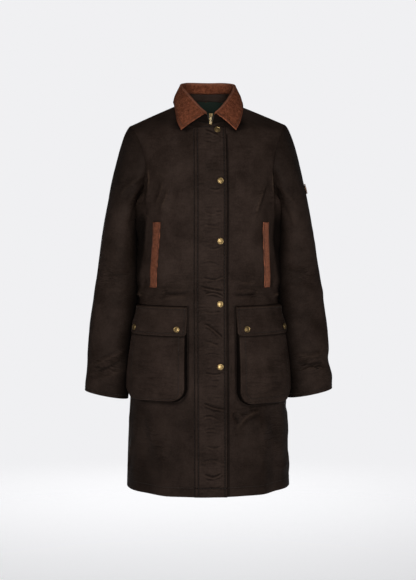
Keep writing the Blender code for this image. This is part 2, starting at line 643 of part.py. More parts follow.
def add_pull(face_y):
    """The pull tab: a plate with a window, hung by a pin under the slider's bridge."""
    hinge = np.array([0.0, face_y - (BRIDGE_RISE - BRIDGE_BAR) / 2, HINGE_HEIGHT])
    deep = PULL_DEEP / 2
    pin = PULL_PIN_RADIUS
    wide = PULL_ARM_OUTER
    low, high = -PULL_LENGTH, pin
    plate = [(-wide, high), (-wide, low + wide), (-wide / 2, low), (wide / 2, low), (wide, low + wide),
             (wide, high)]
    window = [(-PULL_ARM_INNER, -pin), (-PULL_ARM_INNER, -PULL_WINDOW), (PULL_ARM_INNER, -PULL_WINDOW),
              (PULL_ARM_INNER, -pin)]
    shape = bmesh.new()
    layers = []
    for y in (-deep, deep):
        ring = [shape.verts.new((x, y, z)) for x, z in plate]
        hole = [shape.verts.new((x, y, z)) for x, z in window]
        layers.append((ring, hole))
    for ring, hole in layers:
        p, h = ring, hole
        for face in ((p[0], p[1], h[1], h[0]), (p[1], p[2], p[3], p[4], h[2], h[1]),
                     (p[4], p[5], h[3], h[2]), (p[5], p[0], h[0], h[3])):
            shape.faces.new(face)
    for loop_a, loop_b in zip(layers[0], layers[1]):
        for k in range(len(loop_a)):
            n = (k + 1) % len(loop_a)
            shape.faces.new((loop_a[k], loop_a[n], loop_b[n], loop_b[k]))
    bmesh.ops.recalc_face_normals(shape, faces=shape.faces)
    mesh = bpy.data.meshes.new("zip_pull")
    shape.to_mesh(mesh)
    shape.free()
    mesh.materials.append(material("zip_pull", BRASS))
    made = bpy.data.objects.new("zip_pull", mesh)
    made.location = hinge
    bpy.context.scene.collection.objects.link(made)


def pocket_lift(across, rise):
    """How far the pocket's face stands out at a place: across from its inner edge, rise from its bottom."""
    width = POCKET_OUTER - POCKET_INNER
    tall = POCKET_MOUTH - POCKET_BOTTOM
    side = min(across, width - across)
    inset = side
    if side < POCKET_CORNER and rise < POCKET_CORNER:
        inset = POCKET_CORNER - math.hypot(POCKET_CORNER - side, POCKET_CORNER - rise)
    inset = max(0.0, min(inset, rise if side >= POCKET_CORNER else inset))
    share = rise / tall
    depth = POCKET_DEPTH + (POCKET_MOUTH_DEPTH - POCKET_DEPTH) * float(ease((share - 0.25) / 0.75))
    crown = POCKET_CROWN * math.sin(math.pi * across / width) * math.sin(math.pi * min(1.0, share))
    wall = math.sqrt(max(0.0, 1.0 - (1.0 - min(1.0, inset / GUSSET)) ** 2))
    return POCKET_GAP + (depth + crown) * wall


def add_pocket(name, front):
    """The bellows pocket: a face standing off the front on its gusset, open at the top."""
    width = POCKET_OUTER - POCKET_INNER
    points = []
    for rise in POCKET_ROWS:
        low = max(0.0, POCKET_CORNER - rise)
        inset = POCKET_CORNER - math.sqrt(POCKET_CORNER ** 2 - low ** 2)
        row = []
        for share in POCKET_COLUMNS:
            across = inset + share * (width - 2 * inset)
            point, normal = front.at(POCKET_INNER - FRONT_EDGE + across, POCKET_BOTTOM + rise)
            row.append(point + normal * pocket_lift(across, rise))
        points.append(row)
    points = np.array(points)
    sign = -1.0 if front.points[0, -1, 0] > 0 else 1.0
    sheet = Sheet(points, face_normals(points, sign))
    add_sheet(name, sheet, 0.0, -POCKET_CLOTH, WAXED)


def flap_lift(distance, height):
    """Outer face of the pocket flap above the front."""
    width = POCKET_OUTER - POCKET_INNER
    across = min(max(distance - POCKET_INNER, GUSSET), width - GUSSET)
    rise = min(height, POCKET_MOUTH) - POCKET_BOTTOM
    over = pocket_lift(across, rise) + POCKET_GAP + FLAP_CLOTH
    seam = POCKET_GAP + FLAP_CLOTH
    share = float(ease((FLAP_TOP - height) / FLAP_RISE))
    return seam + (over - seam) * share


def add_pocket_flap(name, front):
    points = []
    for drop in FLAP_ROWS:
        low = max(0.0, FLAP_CORNER - (FLAP_TOP - FLAP_BOTTOM - drop))
        inset = FLAP_CORNER - math.sqrt(FLAP_CORNER ** 2 - low ** 2)
        row = []
        for share in FLAP_COLUMNS:
            distance = FLAP_INNER + inset + share * (FLAP_OUTER - FLAP_INNER - 2 * inset)
            point, normal = front.at(distance - FRONT_EDGE, FLAP_TOP - drop)
            row.append(point + normal * flap_lift(distance, FLAP_TOP - drop))
        points.append(row)
    points = np.array(points)[::-1]
    sign = -1.0 if front.points[0, -1, 0] > 0 else 1.0
    sheet = Sheet(points, face_normals(points, sign))
    add_sheet(name, sheet, 0.0, -FLAP_CLOTH, WAXED)


def on_flap(front, distance, height):
    """A point on the pocket flap's face and the way it faces there."""
    step = SNAP_RADIUS
    places = [(distance, height), (distance + step, height), (distance - step, height),
              (distance, height + step), (distance, height - step)]
    points = []
    for d, z in places:
        point, normal = front.at(d - FRONT_EDGE, z)
        points.append(point + normal * flap_lift(d, z))
    faces = unit(np.cross(points[1] - points[2], points[3] - points[4]))
    return points[0], faces * np.sign(faces @ front.at(distance - FRONT_EDGE, height)[1])


def add_welt(name, front):
    points, normals = [], []
    for step in range(WELT_ROWS + 1):
        f = step / WELT_ROWS
        middle = WELT_BOTTOM[0] + (WELT_TOP[0] - WELT_BOTTOM[0]) * f
        height = WELT_BOTTOM[1] + (WELT_TOP[1] - WELT_BOTTOM[1]) * f
        row = [front.at(middle + shift * WELT_WIDTH - FRONT_EDGE, height) for shift in (-0.5, 0.0, 0.5)]
        points.append([r[0] for r in row])
        normals.append([r[1] for r in row])
    sheet = Sheet(np.array(points), np.array(normals))
    add_sheet(name, sheet, WELT_GAP + WELT_CLOTH, WELT_GAP, NEEDLECORD)


def add_snap(name, foot, axis):
    """A domed cap standing on the cloth at foot."""
    turn = Vector((0.0, 0.0, 1.0)).rotation_difference(Vector(axis)).to_matrix()
    place = Matrix.Translation(Vector(foot + axis * LAID_GAP)) @ turn.to_4x4()
    vertices = []
    for share, height in SNAP_PROFILE:
        for k in range(SNAP_SIDES):
            angle = 2 * math.pi * k / SNAP_SIDES
            radius = SNAP_RADIUS * share
            vertices.append((radius * math.cos(angle), radius * math.sin(angle), height))
    faces = [tuple(range(SNAP_SIDES))[::-1]]
    for ring in range(len(SNAP_PROFILE) - 1):
        for k in range(SNAP_SIDES):
            n = (k + 1) % SNAP_SIDES
            a, b = ring * SNAP_SIDES, (ring + 1) * SNAP_SIDES
            faces.append((a + k, a + n, b + n, b + k))
    top = len(vertices)
    vertices.append((0.0, 0.0, SNAP_CENTRE))
    last = (len(SNAP_PROFILE) - 1) * SNAP_SIDES
    faces += [(last + k, last + (k + 1) % SNAP_SIDES, top) for k in range(SNAP_SIDES)]
    add_object(name, [tuple(place @ Vector(v)) for v in vertices], faces, BRASS)


def add_patch(sleeve):
    """A small plain patch laid on the outside of the sleeve."""
    top = len(FRONT_SECTIONS) - 1
    outer = row_of(FRONT_SECTIONS, top) - row_of(FRONT_SECTIONS, UNDERARM)
    row = int(np.argmin(np.abs(sleeve.points[:, outer, 2] - PATCH_HEIGHT)))
    length = run_along(sleeve.points[row])[-1]
    flipped = Sheet(sleeve.points[::-1], sleeve.normals[::-1])
    points, normals = [], []
    for v in PATCH_GRID:
        row = []
        for u in PATCH_GRID:
            trim = PATCH_TRIM if abs(u) == 1.0 and abs(v) == 1.0 else 1.0
            across = PATCH_SHARE * length + u * trim * PATCH_HALF[0]
            row.append(flipped.at(across, PATCH_HEIGHT + v * trim * PATCH_HALF[1]))
        points.append([r[0] for r in row])
        normals.append([r[1] for r in row])
    sheet = Sheet(np.array(points), np.array(normals))
    add_sheet("sleeve_patch", sheet, PATCH_GAP + PATCH_CLOTH, PATCH_GAP, PATCH_LEATHER)


def build():
    for old in list(bpy.data.objects):
        bpy.data.objects.remove(old, do_unlink=True)

    front_right = half_panel(FRONT_SECTIONS, FRONT_NECK, FRONT_COLUMNS, RIGHT, FRONT, FRONT_RIGHT_FOLDS)
    front_left = half_panel(FRONT_SECTIONS, FRONT_NECK, FRONT_COLUMNS, LEFT, FRONT, FRONT_LEFT_FOLDS)
    back_right = half_panel(BACK_SECTIONS, BACK_NECK, BACK_COLUMNS, RIGHT, BACK, BACK_RIGHT_FOLDS)
    back_left = half_panel(BACK_SECTIONS, BACK_NECK, BACK_COLUMNS, LEFT, BACK, BACK_LEFT_FOLDS)
    share_seams(front_right, back_right)
    share_seams(front_left, back_left)
    add_sheet("front_right", front_right, 0.0, -BODY_CLOTH, WAXED)
    add_sheet("front_left", front_left, 0.0, -BODY_CLOTH, WAXED)
    neck_row = row_of(BACK_SECTIONS, BACK_NECK)
    add_folded_pair("back", back_left, back_right, 0, neck_row, BACK_COLUMNS, 0.0, -BODY_CLOTH, WAXED)
    under = -BODY_CLOTH - SEAM_GAP
    first = len(back_left.points) - LINING_ROWS
    add_folded_pair("back_lining", back_left, back_right, first, neck_row, BACK_COLUMNS - LINING_INSET,
                    under, under - LINING_CLOTH, GREEN_LINING)

    sleeve_right = sleeve_sheet(front_right, back_right, RIGHT, SLEEVE_RIGHT_FOLDS)
    sleeve_left = sleeve_sheet(front_left, back_left, LEFT, SLEEVE_LEFT_FOLDS)
    add_sheet("sleeve_right", sleeve_right, 0.0, -BODY_CLOTH, WAXED)
    add_sheet("sleeve_left", sleeve_left, 0.0, -BODY_CLOTH, WAXED)
    add_patch(sleeve_left)

    stand_right, collar_right = collar_half(neck_seam(front_right, back_right), RIGHT)
    stand_left, collar_left = collar_half(neck_seam(front_left, back_left), LEFT)
    stand = np.concatenate([stand_right, stand_left[:, ::-1][:, 1:]], axis=1)
    collar = np.concatenate([collar_right, collar_left[:, ::-1][:, 1:]], axis=1)
    stand = Sheet(stand, face_normals(stand, 1.0))
    collar = Sheet(collar, face_normals(collar, -1.0))
    add_sheet("collar_stand", stand, 0.0, -STAND_CLOTH, WAXED)
    add_sheet("collar", collar, 0.0, -COLLAR_CLOTH, NEEDLECORD)

    flap_top = row_of(FRONT_SECTIONS, FRONT_NECK)
    add_storm_flap(front_right, front_left, flap_top)
    add_zip(front_right, front_left, stand, flap_top)
    face_y = stand.points[1, 0, 1] - SLIDER[1]
    add_slider(face_y)
    add_pull(face_y)

    for word, front in (("right", front_right), ("left", front_left)):
        add_welt("welt_" + word, front)
        add_pocket("pocket_" + word, front)
        add_pocket_flap("pocket_flap_" + word, front)
        for place, distance in POCKET_SNAPS.items():
            add_snap(f"snap_pocket_{word}_{place}", *on_flap(front, distance, POCKET_SNAP_HEIGHT))
    for number, (distance, height) in enumerate(FRONT_SNAPS, start=1):
        point, normal = front_left.at(distance - FRONT_EDGE, height)
        add_snap(f"snap_front_{number}", point + normal * (FLAP_GAP + FLAP_CLOTH), normal)


build()
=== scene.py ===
# %% [markdown]
# # A long waxed-cotton jacket
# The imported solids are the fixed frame. They are rigid walls with the cut, the size and the largest folds of
# the jacket. This script dresses them: each panel becomes a thin shell of cloth with its creases, seams,
# stitches and finish. Everything is in metres, the front faces -Y and +X is the wearer's left.

# %% Load the frame
import math
from collections import namedtuple

import bpy
import numpy as np
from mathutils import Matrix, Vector


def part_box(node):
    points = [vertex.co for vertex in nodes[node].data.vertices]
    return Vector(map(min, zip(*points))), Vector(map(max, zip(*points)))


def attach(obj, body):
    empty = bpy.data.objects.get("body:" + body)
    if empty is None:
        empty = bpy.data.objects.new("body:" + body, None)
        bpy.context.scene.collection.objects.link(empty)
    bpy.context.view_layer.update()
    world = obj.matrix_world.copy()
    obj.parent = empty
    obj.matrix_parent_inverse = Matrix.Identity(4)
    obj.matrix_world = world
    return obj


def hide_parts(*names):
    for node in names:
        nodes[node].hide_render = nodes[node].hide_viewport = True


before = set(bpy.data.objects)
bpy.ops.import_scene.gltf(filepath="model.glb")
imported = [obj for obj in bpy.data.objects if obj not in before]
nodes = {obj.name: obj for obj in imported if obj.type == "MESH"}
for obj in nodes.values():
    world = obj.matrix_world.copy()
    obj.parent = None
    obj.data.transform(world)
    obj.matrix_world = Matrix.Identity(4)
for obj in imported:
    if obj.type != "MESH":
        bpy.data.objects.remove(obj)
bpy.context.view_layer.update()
print("solids in the frame:", len(nodes))

# %% [markdown]
# ## The cut
# A tailor keeps a pattern as a short table of measures. These tables are the jacket's own: a section for each
# level of a panel, a ring for each level of a sleeve, and the roll and edge of the collar. The solids were
# drawn from the same numbers, so a fine grid through them lies on the solids. A mesh copied from a solid
# would only have its coarse facets.

# %% Sections of the fronts and the back
# edge is the centre line and then the neckline; side is the side seam and then the armhole
Section = namedtuple("Section", "name edge_x edge_y edge_z side_x side_y side_z bow rows")
FRONT_SECTIONS = [
    Section("hem",       0.004, -0.160, -0.926, 0.200,  0.000, -0.926, 1.06, 0),
    Section("thigh",     0.004, -0.158, -0.800, 0.196,  0.000, -0.800, 1.05, 3),
    Section("hip",       0.004, -0.151, -0.660, 0.188,  0.000, -0.660, 1.03, 4),
    Section("high_hip",  0.004, -0.142, -0.540, 0.179,  0.000, -0.540, 1.00, 3),
    Section("waist",     0.004, -0.135, -0.430, 0.170,  0.000, -0.430, 1.00, 3),
    Section("rib",       0.004, -0.141, -0.325, 0.168,  0.000, -0.330, 1.00, 3),
    Section("underarm",  0.004, -0.146, -0.225, 0.170,  0.000, -0.240, 1.00, 3),
    Section("chest",     0.004, -0.134, -0.135, 0.153, -0.066, -0.165, 0.78, 3),
    Section("neck_base", 0.004, -0.102, -0.050, 0.159, -0.066, -0.112, 0.70, 3),
    Section("neck_side", 0.046, -0.081, -0.036, 0.173, -0.042, -0.074, 0.40, 3),
    Section("shoulder",  0.073, -0.004,  0.003, 0.187,  0.004, -0.047, 0.05, 3),
]
BACK_SECTIONS = [
    Section("hem",       0.000, 0.150, -0.926, 0.200, 0.000, -0.926, 1.05, 0),
    Section("thigh",     0.000, 0.150, -0.800, 0.196, 0.000, -0.800, 1.05, 3),
    Section("hip",       0.000, 0.147, -0.660, 0.188, 0.000, -0.660, 1.03, 4),
    Section("high_hip",  0.000, 0.134, -0.540, 0.179, 0.000, -0.540, 1.00, 3),
    Section("waist",     0.000, 0.121, -0.430, 0.170, 0.000, -0.430, 1.00, 3),
    Section("rib",       0.000, 0.125, -0.325, 0.168, 0.000, -0.330, 1.00, 3),
    Section("underarm",  0.000, 0.133, -0.225, 0.170, 0.000, -0.240, 1.00, 3),
    Section("blade",     0.000, 0.131, -0.120, 0.158, 0.074, -0.165, 0.78, 3),
    Section("yoke",      0.000, 0.111, -0.035, 0.165, 0.066, -0.110, 0.65, 2),
    Section("neck_base", 0.000, 0.088,  0.021, 0.176, 0.044, -0.075, 0.45, 2),
    Section("neck_side", 0.047, 0.067,  0.017, 0.183, 0.022, -0.058, 0.28, 3),
    Section("shoulder",  0.073, -0.004, 0.003, 0.187, 0.004, -0.047, 0.05, 3),
]
UNDERARM = 6                # section where the side seam ends and the armhole begins
FRONT_NECK = 8              # section where the front edge ends and the neckline begins
BACK_NECK = 9
LEFT_SHOULDER_LIFT = 0.005
SEAM_GAP = 0.0003
FRONT_EDGE = 0.004          # half the gap between the fronts
FLAP_HALF_WIDTH = 0.035
QUARTER_ARC = 1.657         # pull of a cubic that follows a quarter circle
RIGHT, LEFT, FRONT, BACK = -1, 1, -1, 1
print("sections:", len(FRONT_SECTIONS), "front,", len(BACK_SECTIONS), "back")

# %% Rings of a sleeve and turns of the collar
Ring = namedtuple("Ring", "name x y z half_width half_depth tilt left_out rows")
SLEEVE_RINGS = [
    Ring("upper_arm", 0.2128, 0.012, -0.295, 0.0425, 0.066, 12.0, 0.003, 0),
    Ring("elbow",     0.2228, 0.026, -0.430, 0.0543, 0.058,  8.0, 0.006, 3),
    Ring("forearm",   0.2379, 0.020, -0.560, 0.0549, 0.052,  7.0, 0.007, 3),
    Ring("wrist",     0.2439, 0.012, -0.640, 0.0538, 0.048,  9.0, 0.007, 2),
    Ring("cuff",      0.2493, 0.008, -0.703, 0.0543, 0.047, 11.0, 0.007, 2),
]
CAP_ROWS = 5
SLEEVE_SEAM = 0.0005        # share of the ring left open along the underarm seam
ARMHOLE_GAP = 0.0004
CapPull = namedtuple("CapPull", "name share x y z")
CAP_PULLS = [
    CapPull("underarm", 0.00, 0.034,  0.000,  0.004),
    CapPull("front",    0.25, 0.050, -0.024, -0.050),
    CapPull("shoulder", 0.50, 0.078,  0.000, -0.034),
    CapPull("back",     0.75, 0.050,  0.024, -0.050),
    CapPull("underarm", 1.00, 0.034,  0.000,  0.004),
]
Turn = namedtuple("Turn", "share roll_x roll_y roll_z edge_x edge_y edge_z inside")
COLLAR_TURNS = [
    Turn(0.00, 0.0100, -0.1000, -0.0255, 0.0655, -0.1060, -0.0645, 0.003),
    Turn(0.15, 0.0265, -0.0880, -0.0090, 0.0750, -0.0870, -0.0450, 0.005),
    Turn(0.30, 0.0430, -0.0660,  0.0125, 0.0815, -0.0560, -0.0180, 0.009),
    Turn(0.45, 0.0560, -0.0360,  0.0330, 0.0845, -0.0180,  0.0025, 0.014),
    Turn(0.60, 0.0630,  0.0060,  0.0490, 0.0840,  0.0260,  0.0100, 0.019),
    Turn(0.80, 0.0480,  0.0520,  0.0590, 0.0580,  0.0860,  0.0060, 0.023),
    Turn(1.00, 0.0000,  0.0740,  0.0615, 0.0000,  0.1080,  0.0030, 0.025),
]
COLLAR_LEAN = -0.005        # the points lie this far towards the wearer's right
LEAN_SHARE = 0.45
STAND_CLOTH = 0.0020
STAND_GAP = 0.0004
ROLL_RADIUS = 0.0039
FALL_BULGE = 0.003
print("rings:", len(SLEEVE_RINGS), "collar turns:", len(COLLAR_TURNS))

# %% [markdown]
# ## Curves through the tables
# Blender's own loft tools would lose the named measures, so the grids are worked out with arrays. A cubic
# with a given pull at each end draws a row, and a smooth curve through the table draws each edge.

# %% Curves
def unit(vectors):
    return vectors / np.maximum(np.linalg.norm(vectors, axis=-1, keepdims=True), 1e-12)


def run_along(points, axis=0):
    """Length of the way along the points of a line, or of each line of a grid."""
    steps = np.linalg.norm(np.diff(points, axis=axis), axis=-1)
    start = np.zeros_like(np.take(steps, [0], axis=axis))
    return np.concatenate([start, np.cumsum(steps, axis=axis)], axis=axis)


def along_line(line, run, at):
    """Points at these lengths along a line."""
    return np.stack([np.interp(at, run, line[:, axis]) for axis in range(3)], axis=-1)


def at_reach(lines, runs, reach):
    """The point at this length along each line."""
    return np.array([along_line(line, run, reach) for line, run in zip(lines, runs)])


def ease(x):
    x = np.clip(x, 0.0, 1.0)
    return x * x * (3.0 - 2.0 * x)


def bell(x, middle, width):
    return np.exp(-(((x - middle) / width) ** 2))


def cubic(start, start_pull, end, end_pull, f):
    f = f[..., None]
    return ((2 * f**3 - 3 * f**2 + 1) * start + (f**3 - 2 * f**2 + f) * start_pull
            + (3 * f**2 - 2 * f**3) * end + (f**3 - f**2) * end_pull)


def smooth(values, at, knots=None):
    """Values on a smooth curve through the rows of a table."""
    values = np.asarray(values, float)
    knots = np.arange(len(values), dtype=float) if knots is None else np.asarray(knots, float)
    slopes = np.gradient(values, knots, axis=0)
    i = np.clip(np.searchsorted(knots, at, side="right") - 1, 0, len(knots) - 2)
    span = (knots[i + 1] - knots[i])[:, None]
    share = (at - knots[i]) / span[:, 0]
    return cubic(values[i], slopes[i] * span, values[i + 1], slopes[i + 1] * span, share)


def rail(values, corner, at):
    """A curve through the table's rows with a corner at one of them."""
    values = np.asarray(values, float)
    low = smooth(values[:corner + 1], np.minimum(at, corner))
    high = smooth(values[corner:], np.maximum(at - corner, 0.0))
    return np.where((at <= corner)[:, None], low, high)


def grid_lines(table, fine):
    """Places of the grid rows, counted in rows of the table, with fine steps for each row of the solid."""
    lines = [0.0]
    for index, row in enumerate(table[1:], start=1):
        count = row.rows * fine
        lines += [index - 1 + (step + 1) / count for step in range(count)]
    return np.array(lines)


def row_of(sections, index, fine):
    return sum(s.rows for s in sections[:index + 1]) * fine


print("one row of a quarter arc:", cubic(np.zeros(2), np.ones(2), np.ones(2), np.ones(2), np.array([0.5])))

# %% [markdown]
# ## Creases
# Waxed cotton is stiff and oily. It doesn't fall in soft waves; it breaks into short ridges and troughs that
# stay where the cloth was bent. Cloth simulation would place them by chance, so each main crease here is
# drawn as a path on the cloth, with its own width and rise. A crease is steeper on one side, and dies
# away at both ends. The largest folds have tables of their own, because the solids have them too.

# %% How a crease lifts the cloth
Crease = namedtuple("Crease", "name path width rise")
TAPER = 0.30                # share of a crease's length over which each end dies away
PATH_STEPS = 14
RIDGE_POWER = 1.7           # a ridge is a little sharper than a plain bell
TROUGH_DEPTH, TROUGH_OFF, TROUGH_WIDTH = 0.42, 1.5, 1.15    # beside it, in shares of its rise and width


def crease_path(path):
    """Points along a smooth way through the places given."""
    path = np.array(path, float)
    if len(path) == 2:
        return path[0] + np.linspace(0, 1, PATH_STEPS)[:, None] * (path[1] - path[0])
    return smooth(path, np.linspace(0, len(path) - 1, PATH_STEPS))


def creases(*rows):
    """Creases from rows in mm: a name, the places on its path, its width and its rise."""
    return [Crease(name, tuple((u / 1e3, v / 1e3) for u, v in path), width / 1e3, rise / 1e3)
            for name, *path, width, rise in rows]


def near_path(points, u, v):
    """Signed distance of each place from a path, and how far along the path it is as a share."""
    best = np.full(u.shape, 1e9)
    side = np.zeros(u.shape)
    along = np.zeros(u.shape)
    for k in range(len(points) - 1):
        a, run = points[k], points[k + 1] - points[k]
        share = ((u - a[0]) * run[0] + (v - a[1]) * run[1]) / max(run @ run, 1e-12)
        near = np.clip(share, 0.0, 1.0)
        off_u, off_v = u - a[0] - near * run[0], v - a[1] - near * run[1]
        off = np.hypot(off_u, off_v)
        closer = off < best
        best = np.where(closer, off, best)
        side = np.where(closer, np.sign(run[0] * off_v - run[1] * off_u), side)
        along = np.where(closer, (k + near) / (len(points) - 1), along)
    return best * side, along


def crease_rise(creases, u, v):
    """How far the creases lift the cloth at each place."""
    rise = np.zeros(u.shape)
    for crease in creases:
        off, along = near_path(crease_path(crease.path), u, v)
        t = off / crease.width
        taper = ease(along / TAPER) * ease((1 - along) / TAPER)
        ridge = np.exp(-np.abs(t) ** RIDGE_POWER) - TROUGH_DEPTH * bell(t, TROUGH_OFF, TROUGH_WIDTH)
        rise += crease.rise * taper * ridge
    return rise


def fold_rise(folds, u, v):
    """The solids' own folds: plain bells that don't die away at their ends."""
    rise = np.zeros(u.shape)
    for fold in folds:
        rise += fold.rise * bell(near_path(np.array(fold.path), u, v)[0], 0.0, fold.width)
    return rise


flat_u, flat_v = np.meshgrid(np.linspace(0, 0.1, 5), np.linspace(0, 0.1, 5))
trial = Crease("trial", ((0, 0.05), (0.1, 0.05)), 0.02, 0.003)
print("a trial crease, mm:", crease_rise([trial], flat_u, flat_v)[2] * 1e3)

# %% [markdown]
# ## The fronts and the back
# Each panel is a grid from its centre line to its side seam and armhole. A row is a cubic that bows like a
# quarter circle, and the rows follow the table from the hem to the shoulder. Creases stay out of the places
# where another piece lies close on the cloth, so that nothing pokes through it.

# %% A panel's grid
ROW_FINE = 8                # grid rows for each row of the solid
COLUMN_FINE = 8
EDGE_COLUMNS = 2            # columns of the solid under half the storm flap
PANEL_COLUMNS = 10
ROW_STEPS = 121             # steps in which a row's length is measured
SEWN_GAP = 0.00002          # panels that are sewn together all but touch
FOLD_FADE = 0.045           # the solids' folds die away this far from a seam
CREASE_FADE = 0.016         # fine creases run closer to it
PLACE_PASSES = 5            # how often a place on the cloth is sought more closely
TINY = 1e-9


def slopes_of(points, sign):
    rows = np.gradient(points, axis=0)
    along = np.gradient(points, axis=1)
    return unit(np.cross(along, rows)) * sign


class Cloth:
    """A fine grid on a piece of cloth: points, outward slopes, and each place's distance u and height v."""

    def __init__(self, points, sign, u=None, v=None):
        self.points = points
        self.sign = sign
        self.normals = slopes_of(points, sign)
        self.u = run_along(points, axis=1) if u is None else u
        self.v = points[..., 2].copy() if v is None else v
        self.worn = 1.0             # how readily its bends wear pale
        self.crumple = 0.3          # how strong its fine creases are
        self.shade = 0.0            # how much painted shade darkens it, in a fold or where another piece lies close
        self.rub = 0.0              # how far it is rubbed apart from its bends
        self.draw = 1.0             # how much painted shade its stitched lines lay on it
        self.turned = np.ones(points.shape[:2])     # 0 at seams, where no edge is turned under

    def lifted(self, rise):
        """The same cloth moved outwards by rise at each place."""
        return Cloth(self.points + self.normals * rise[..., None], self.sign, self.u, self.v)

    def places(self, u, v):
        """Points and slopes at these distances and heights."""
        u, v = np.broadcast_arrays(np.asarray(u, float), np.asarray(v, float))
        shape, u, v = u.shape, u.ravel(), v.ravel()
        rows, columns = self.u.shape
        upward = 1.0 if self.v[-1].mean() > self.v[0].mean() else -1.0
        row = np.full(len(u), rows / 2.0)
        k = np.arange(len(u))
        for again in range(PLACE_PASSES):
            r = np.clip(row.astype(int), 0, rows - 2)
            f = (row - r)[:, None]
            line = self.u[r] * (1 - f) + self.u[r + 1] * f
            c = np.clip((line < u[:, None]).sum(axis=1) - 1, 0, columns - 2)
            step = np.maximum(line[k, c + 1] - line[k, c], TINY)
            column = np.clip(c + (u - line[k, c]) / step, 0, columns - 1)
            c = np.clip(column.astype(int), 0, columns - 2)
            g = column - c
            line = (self.v[:, c] * (1 - g) + self.v[:, c + 1] * g) * upward
            r = np.clip((line < v * upward).sum(axis=0) - 1, 0, rows - 2)
            step = np.maximum(line[r + 1, k] - line[r, k], TINY)
            row = np.clip(r + (v * upward - line[r, k]) / step, 0, rows - 1)
        r = np.clip(row.astype(int), 0, rows - 2)
        f, g = (row - r)[:, None], (column - c)[:, None]

        def between(grid):
            return ((grid[r, c] * (1 - g) + grid[r, c + 1] * g) * (1 - f)
                    + (grid[r + 1, c] * (1 - g) + grid[r + 1, c + 1] * g) * f)
        return between(self.points).reshape(*shape, 3), unit(between(self.normals)).reshape(*shape, 3)


def half_panel(sections, neck, side, facing, folds):
    """One front, or half the back, on the form of its solid."""
    lines = grid_lines(sections, ROW_FINE)
    edge = rail([(s.edge_x, s.edge_y, s.edge_z) for s in sections], neck, lines)
    seam = rail([(s.side_x, s.side_y, s.side_z) for s in sections], UNDERARM, lines)
    if side == LEFT:
        seam[:, 2] += LEFT_SHOULDER_LIFT * ease((lines - UNDERARM) / (lines[-1] - UNDERARM))
    bow = smooth([(s.bow,) for s in sections], lines)
    chord = seam - edge
    edge_pull = chord * (1 - bow) + chord * np.array([QUARTER_ARC, 0.0, 1.0]) * bow
    seam_pull = chord * (1 - bow) + chord * np.array([0.0, QUARTER_ARC, 1.0]) * bow
    f = np.linspace(0.0, 1.0, ROW_STEPS)
    inner = FLAP_HALF_WIDTH - FRONT_EDGE
    wanted = np.linspace(0, PANEL_COLUMNS, PANEL_COLUMNS * COLUMN_FINE + 1)
    points, distance = [], []
    for a, pa, b, pb in zip(edge, edge_pull, seam, seam_pull):
        row = cubic(a, pa, b, pb, f)
        run = run_along(row)
        even = inner + (wanted - EDGE_COLUMNS) / (PANEL_COLUMNS - EDGE_COLUMNS) * (run[-1] - inner)
        reach = np.where(wanted < EDGE_COLUMNS, wanted / EDGE_COLUMNS * inner, even)
        points.append(along_line(row, run, reach))
        distance.append(reach)
    points = np.array(points) * np.array([side, 1.0, 1.0])
    points[..., 1] += facing * SEWN_GAP
    distance = np.array(distance)
    cloth = Cloth(points, -side * facing, distance)
    fade = ease((distance[:, -1:] - distance) / FOLD_FADE)
    reach = distance if facing == FRONT else distance * side
    fade = fade * (ease(distance / FOLD_FADE) if facing == FRONT else 1.0)
    raised = cloth.lifted(fold_rise(folds, reach, cloth.v) * fade)
    raised.u, raised.v = distance, raised.points[..., 2].copy()
    return raised


print("rows on a front:", len(grid_lines(FRONT_SECTIONS, ROW_FINE)))

# %% Folds that the solids have
FRONT_LEFT_FOLDS = creases(
    ("hem flute", (120, -950), (105, -760), 24, 5),
    ("hem hollow", (175, -950), (160, -740), 24, -5),
    ("under the pocket", (60, -725), (115, -800), 18, -4),
    ("waist drag", (50, -430), (170, -445), 18, -3.5),
    ("chest drag", (105, -150), (125, -270), 20, 3),
)
FRONT_RIGHT_FOLDS = creases(
    ("hem flute", (105, -950), (100, -770), 24, 4.5),
    ("hem hollow", (165, -950), (170, -740), 26, -5),
    ("waist drag", (45, -440), (180, -425), 18, -3.5),
    ("chest drag", (100, -160), (130, -280), 20, 3),
)
# On the back the distance is + to the wearer's left and - to the right
BACK_FOLDS = creases(
    ("left hem flute", (80, -950), (85, -700), 26, 6),
    ("left hem hollow", (160, -950), (150, -720), 26, -5),
    ("left waist drag", (30, -430), (170, -450), 20, -4),
    ("left blade drag", (90, -280), (140, -170), 22, -3),
    ("right hem flute", (-90, -950), (-80, -720), 26, 5.5),
    ("right hem hollow", (-165, -950), (-160, -700), 26, -5),
    ("right waist drag", (-20, -445), (-160, -425), 20, -4),
    ("right blade drag", (-95, -270), (-135, -180), 22, -3),
)
# On a sleeve the distance runs from the underarm seam over the front
SLEEVE_LEFT_FOLDS = creases(
    ("elbow", (50, -400), (140, -420), 20, -3.5),
    ("elbow low", (40, -465), (150, -450), 20, 3),
    ("wrist", (60, -625), (160, -620), 16, -4),
    ("wrist low", (50, -655), (150, -660), 16, 3),
    ("back elbow", (210, -430), (290, -410), 22, -4),
)
SLEEVE_RIGHT_FOLDS = creases(
    ("elbow", (50, -420), (140, -395), 20, -3.5),
    ("wrist", (20, -600), (110, -640), 16, -4.5),
    ("wrist low", (30, -640), (120, -672), 16, 3),
    ("back elbow", (210, -415), (290, -435), 22, -4),
)
print("folds of the solids:", sum(map(len, (FRONT_LEFT_FOLDS, FRONT_RIGHT_FOLDS, BACK_FOLDS))))

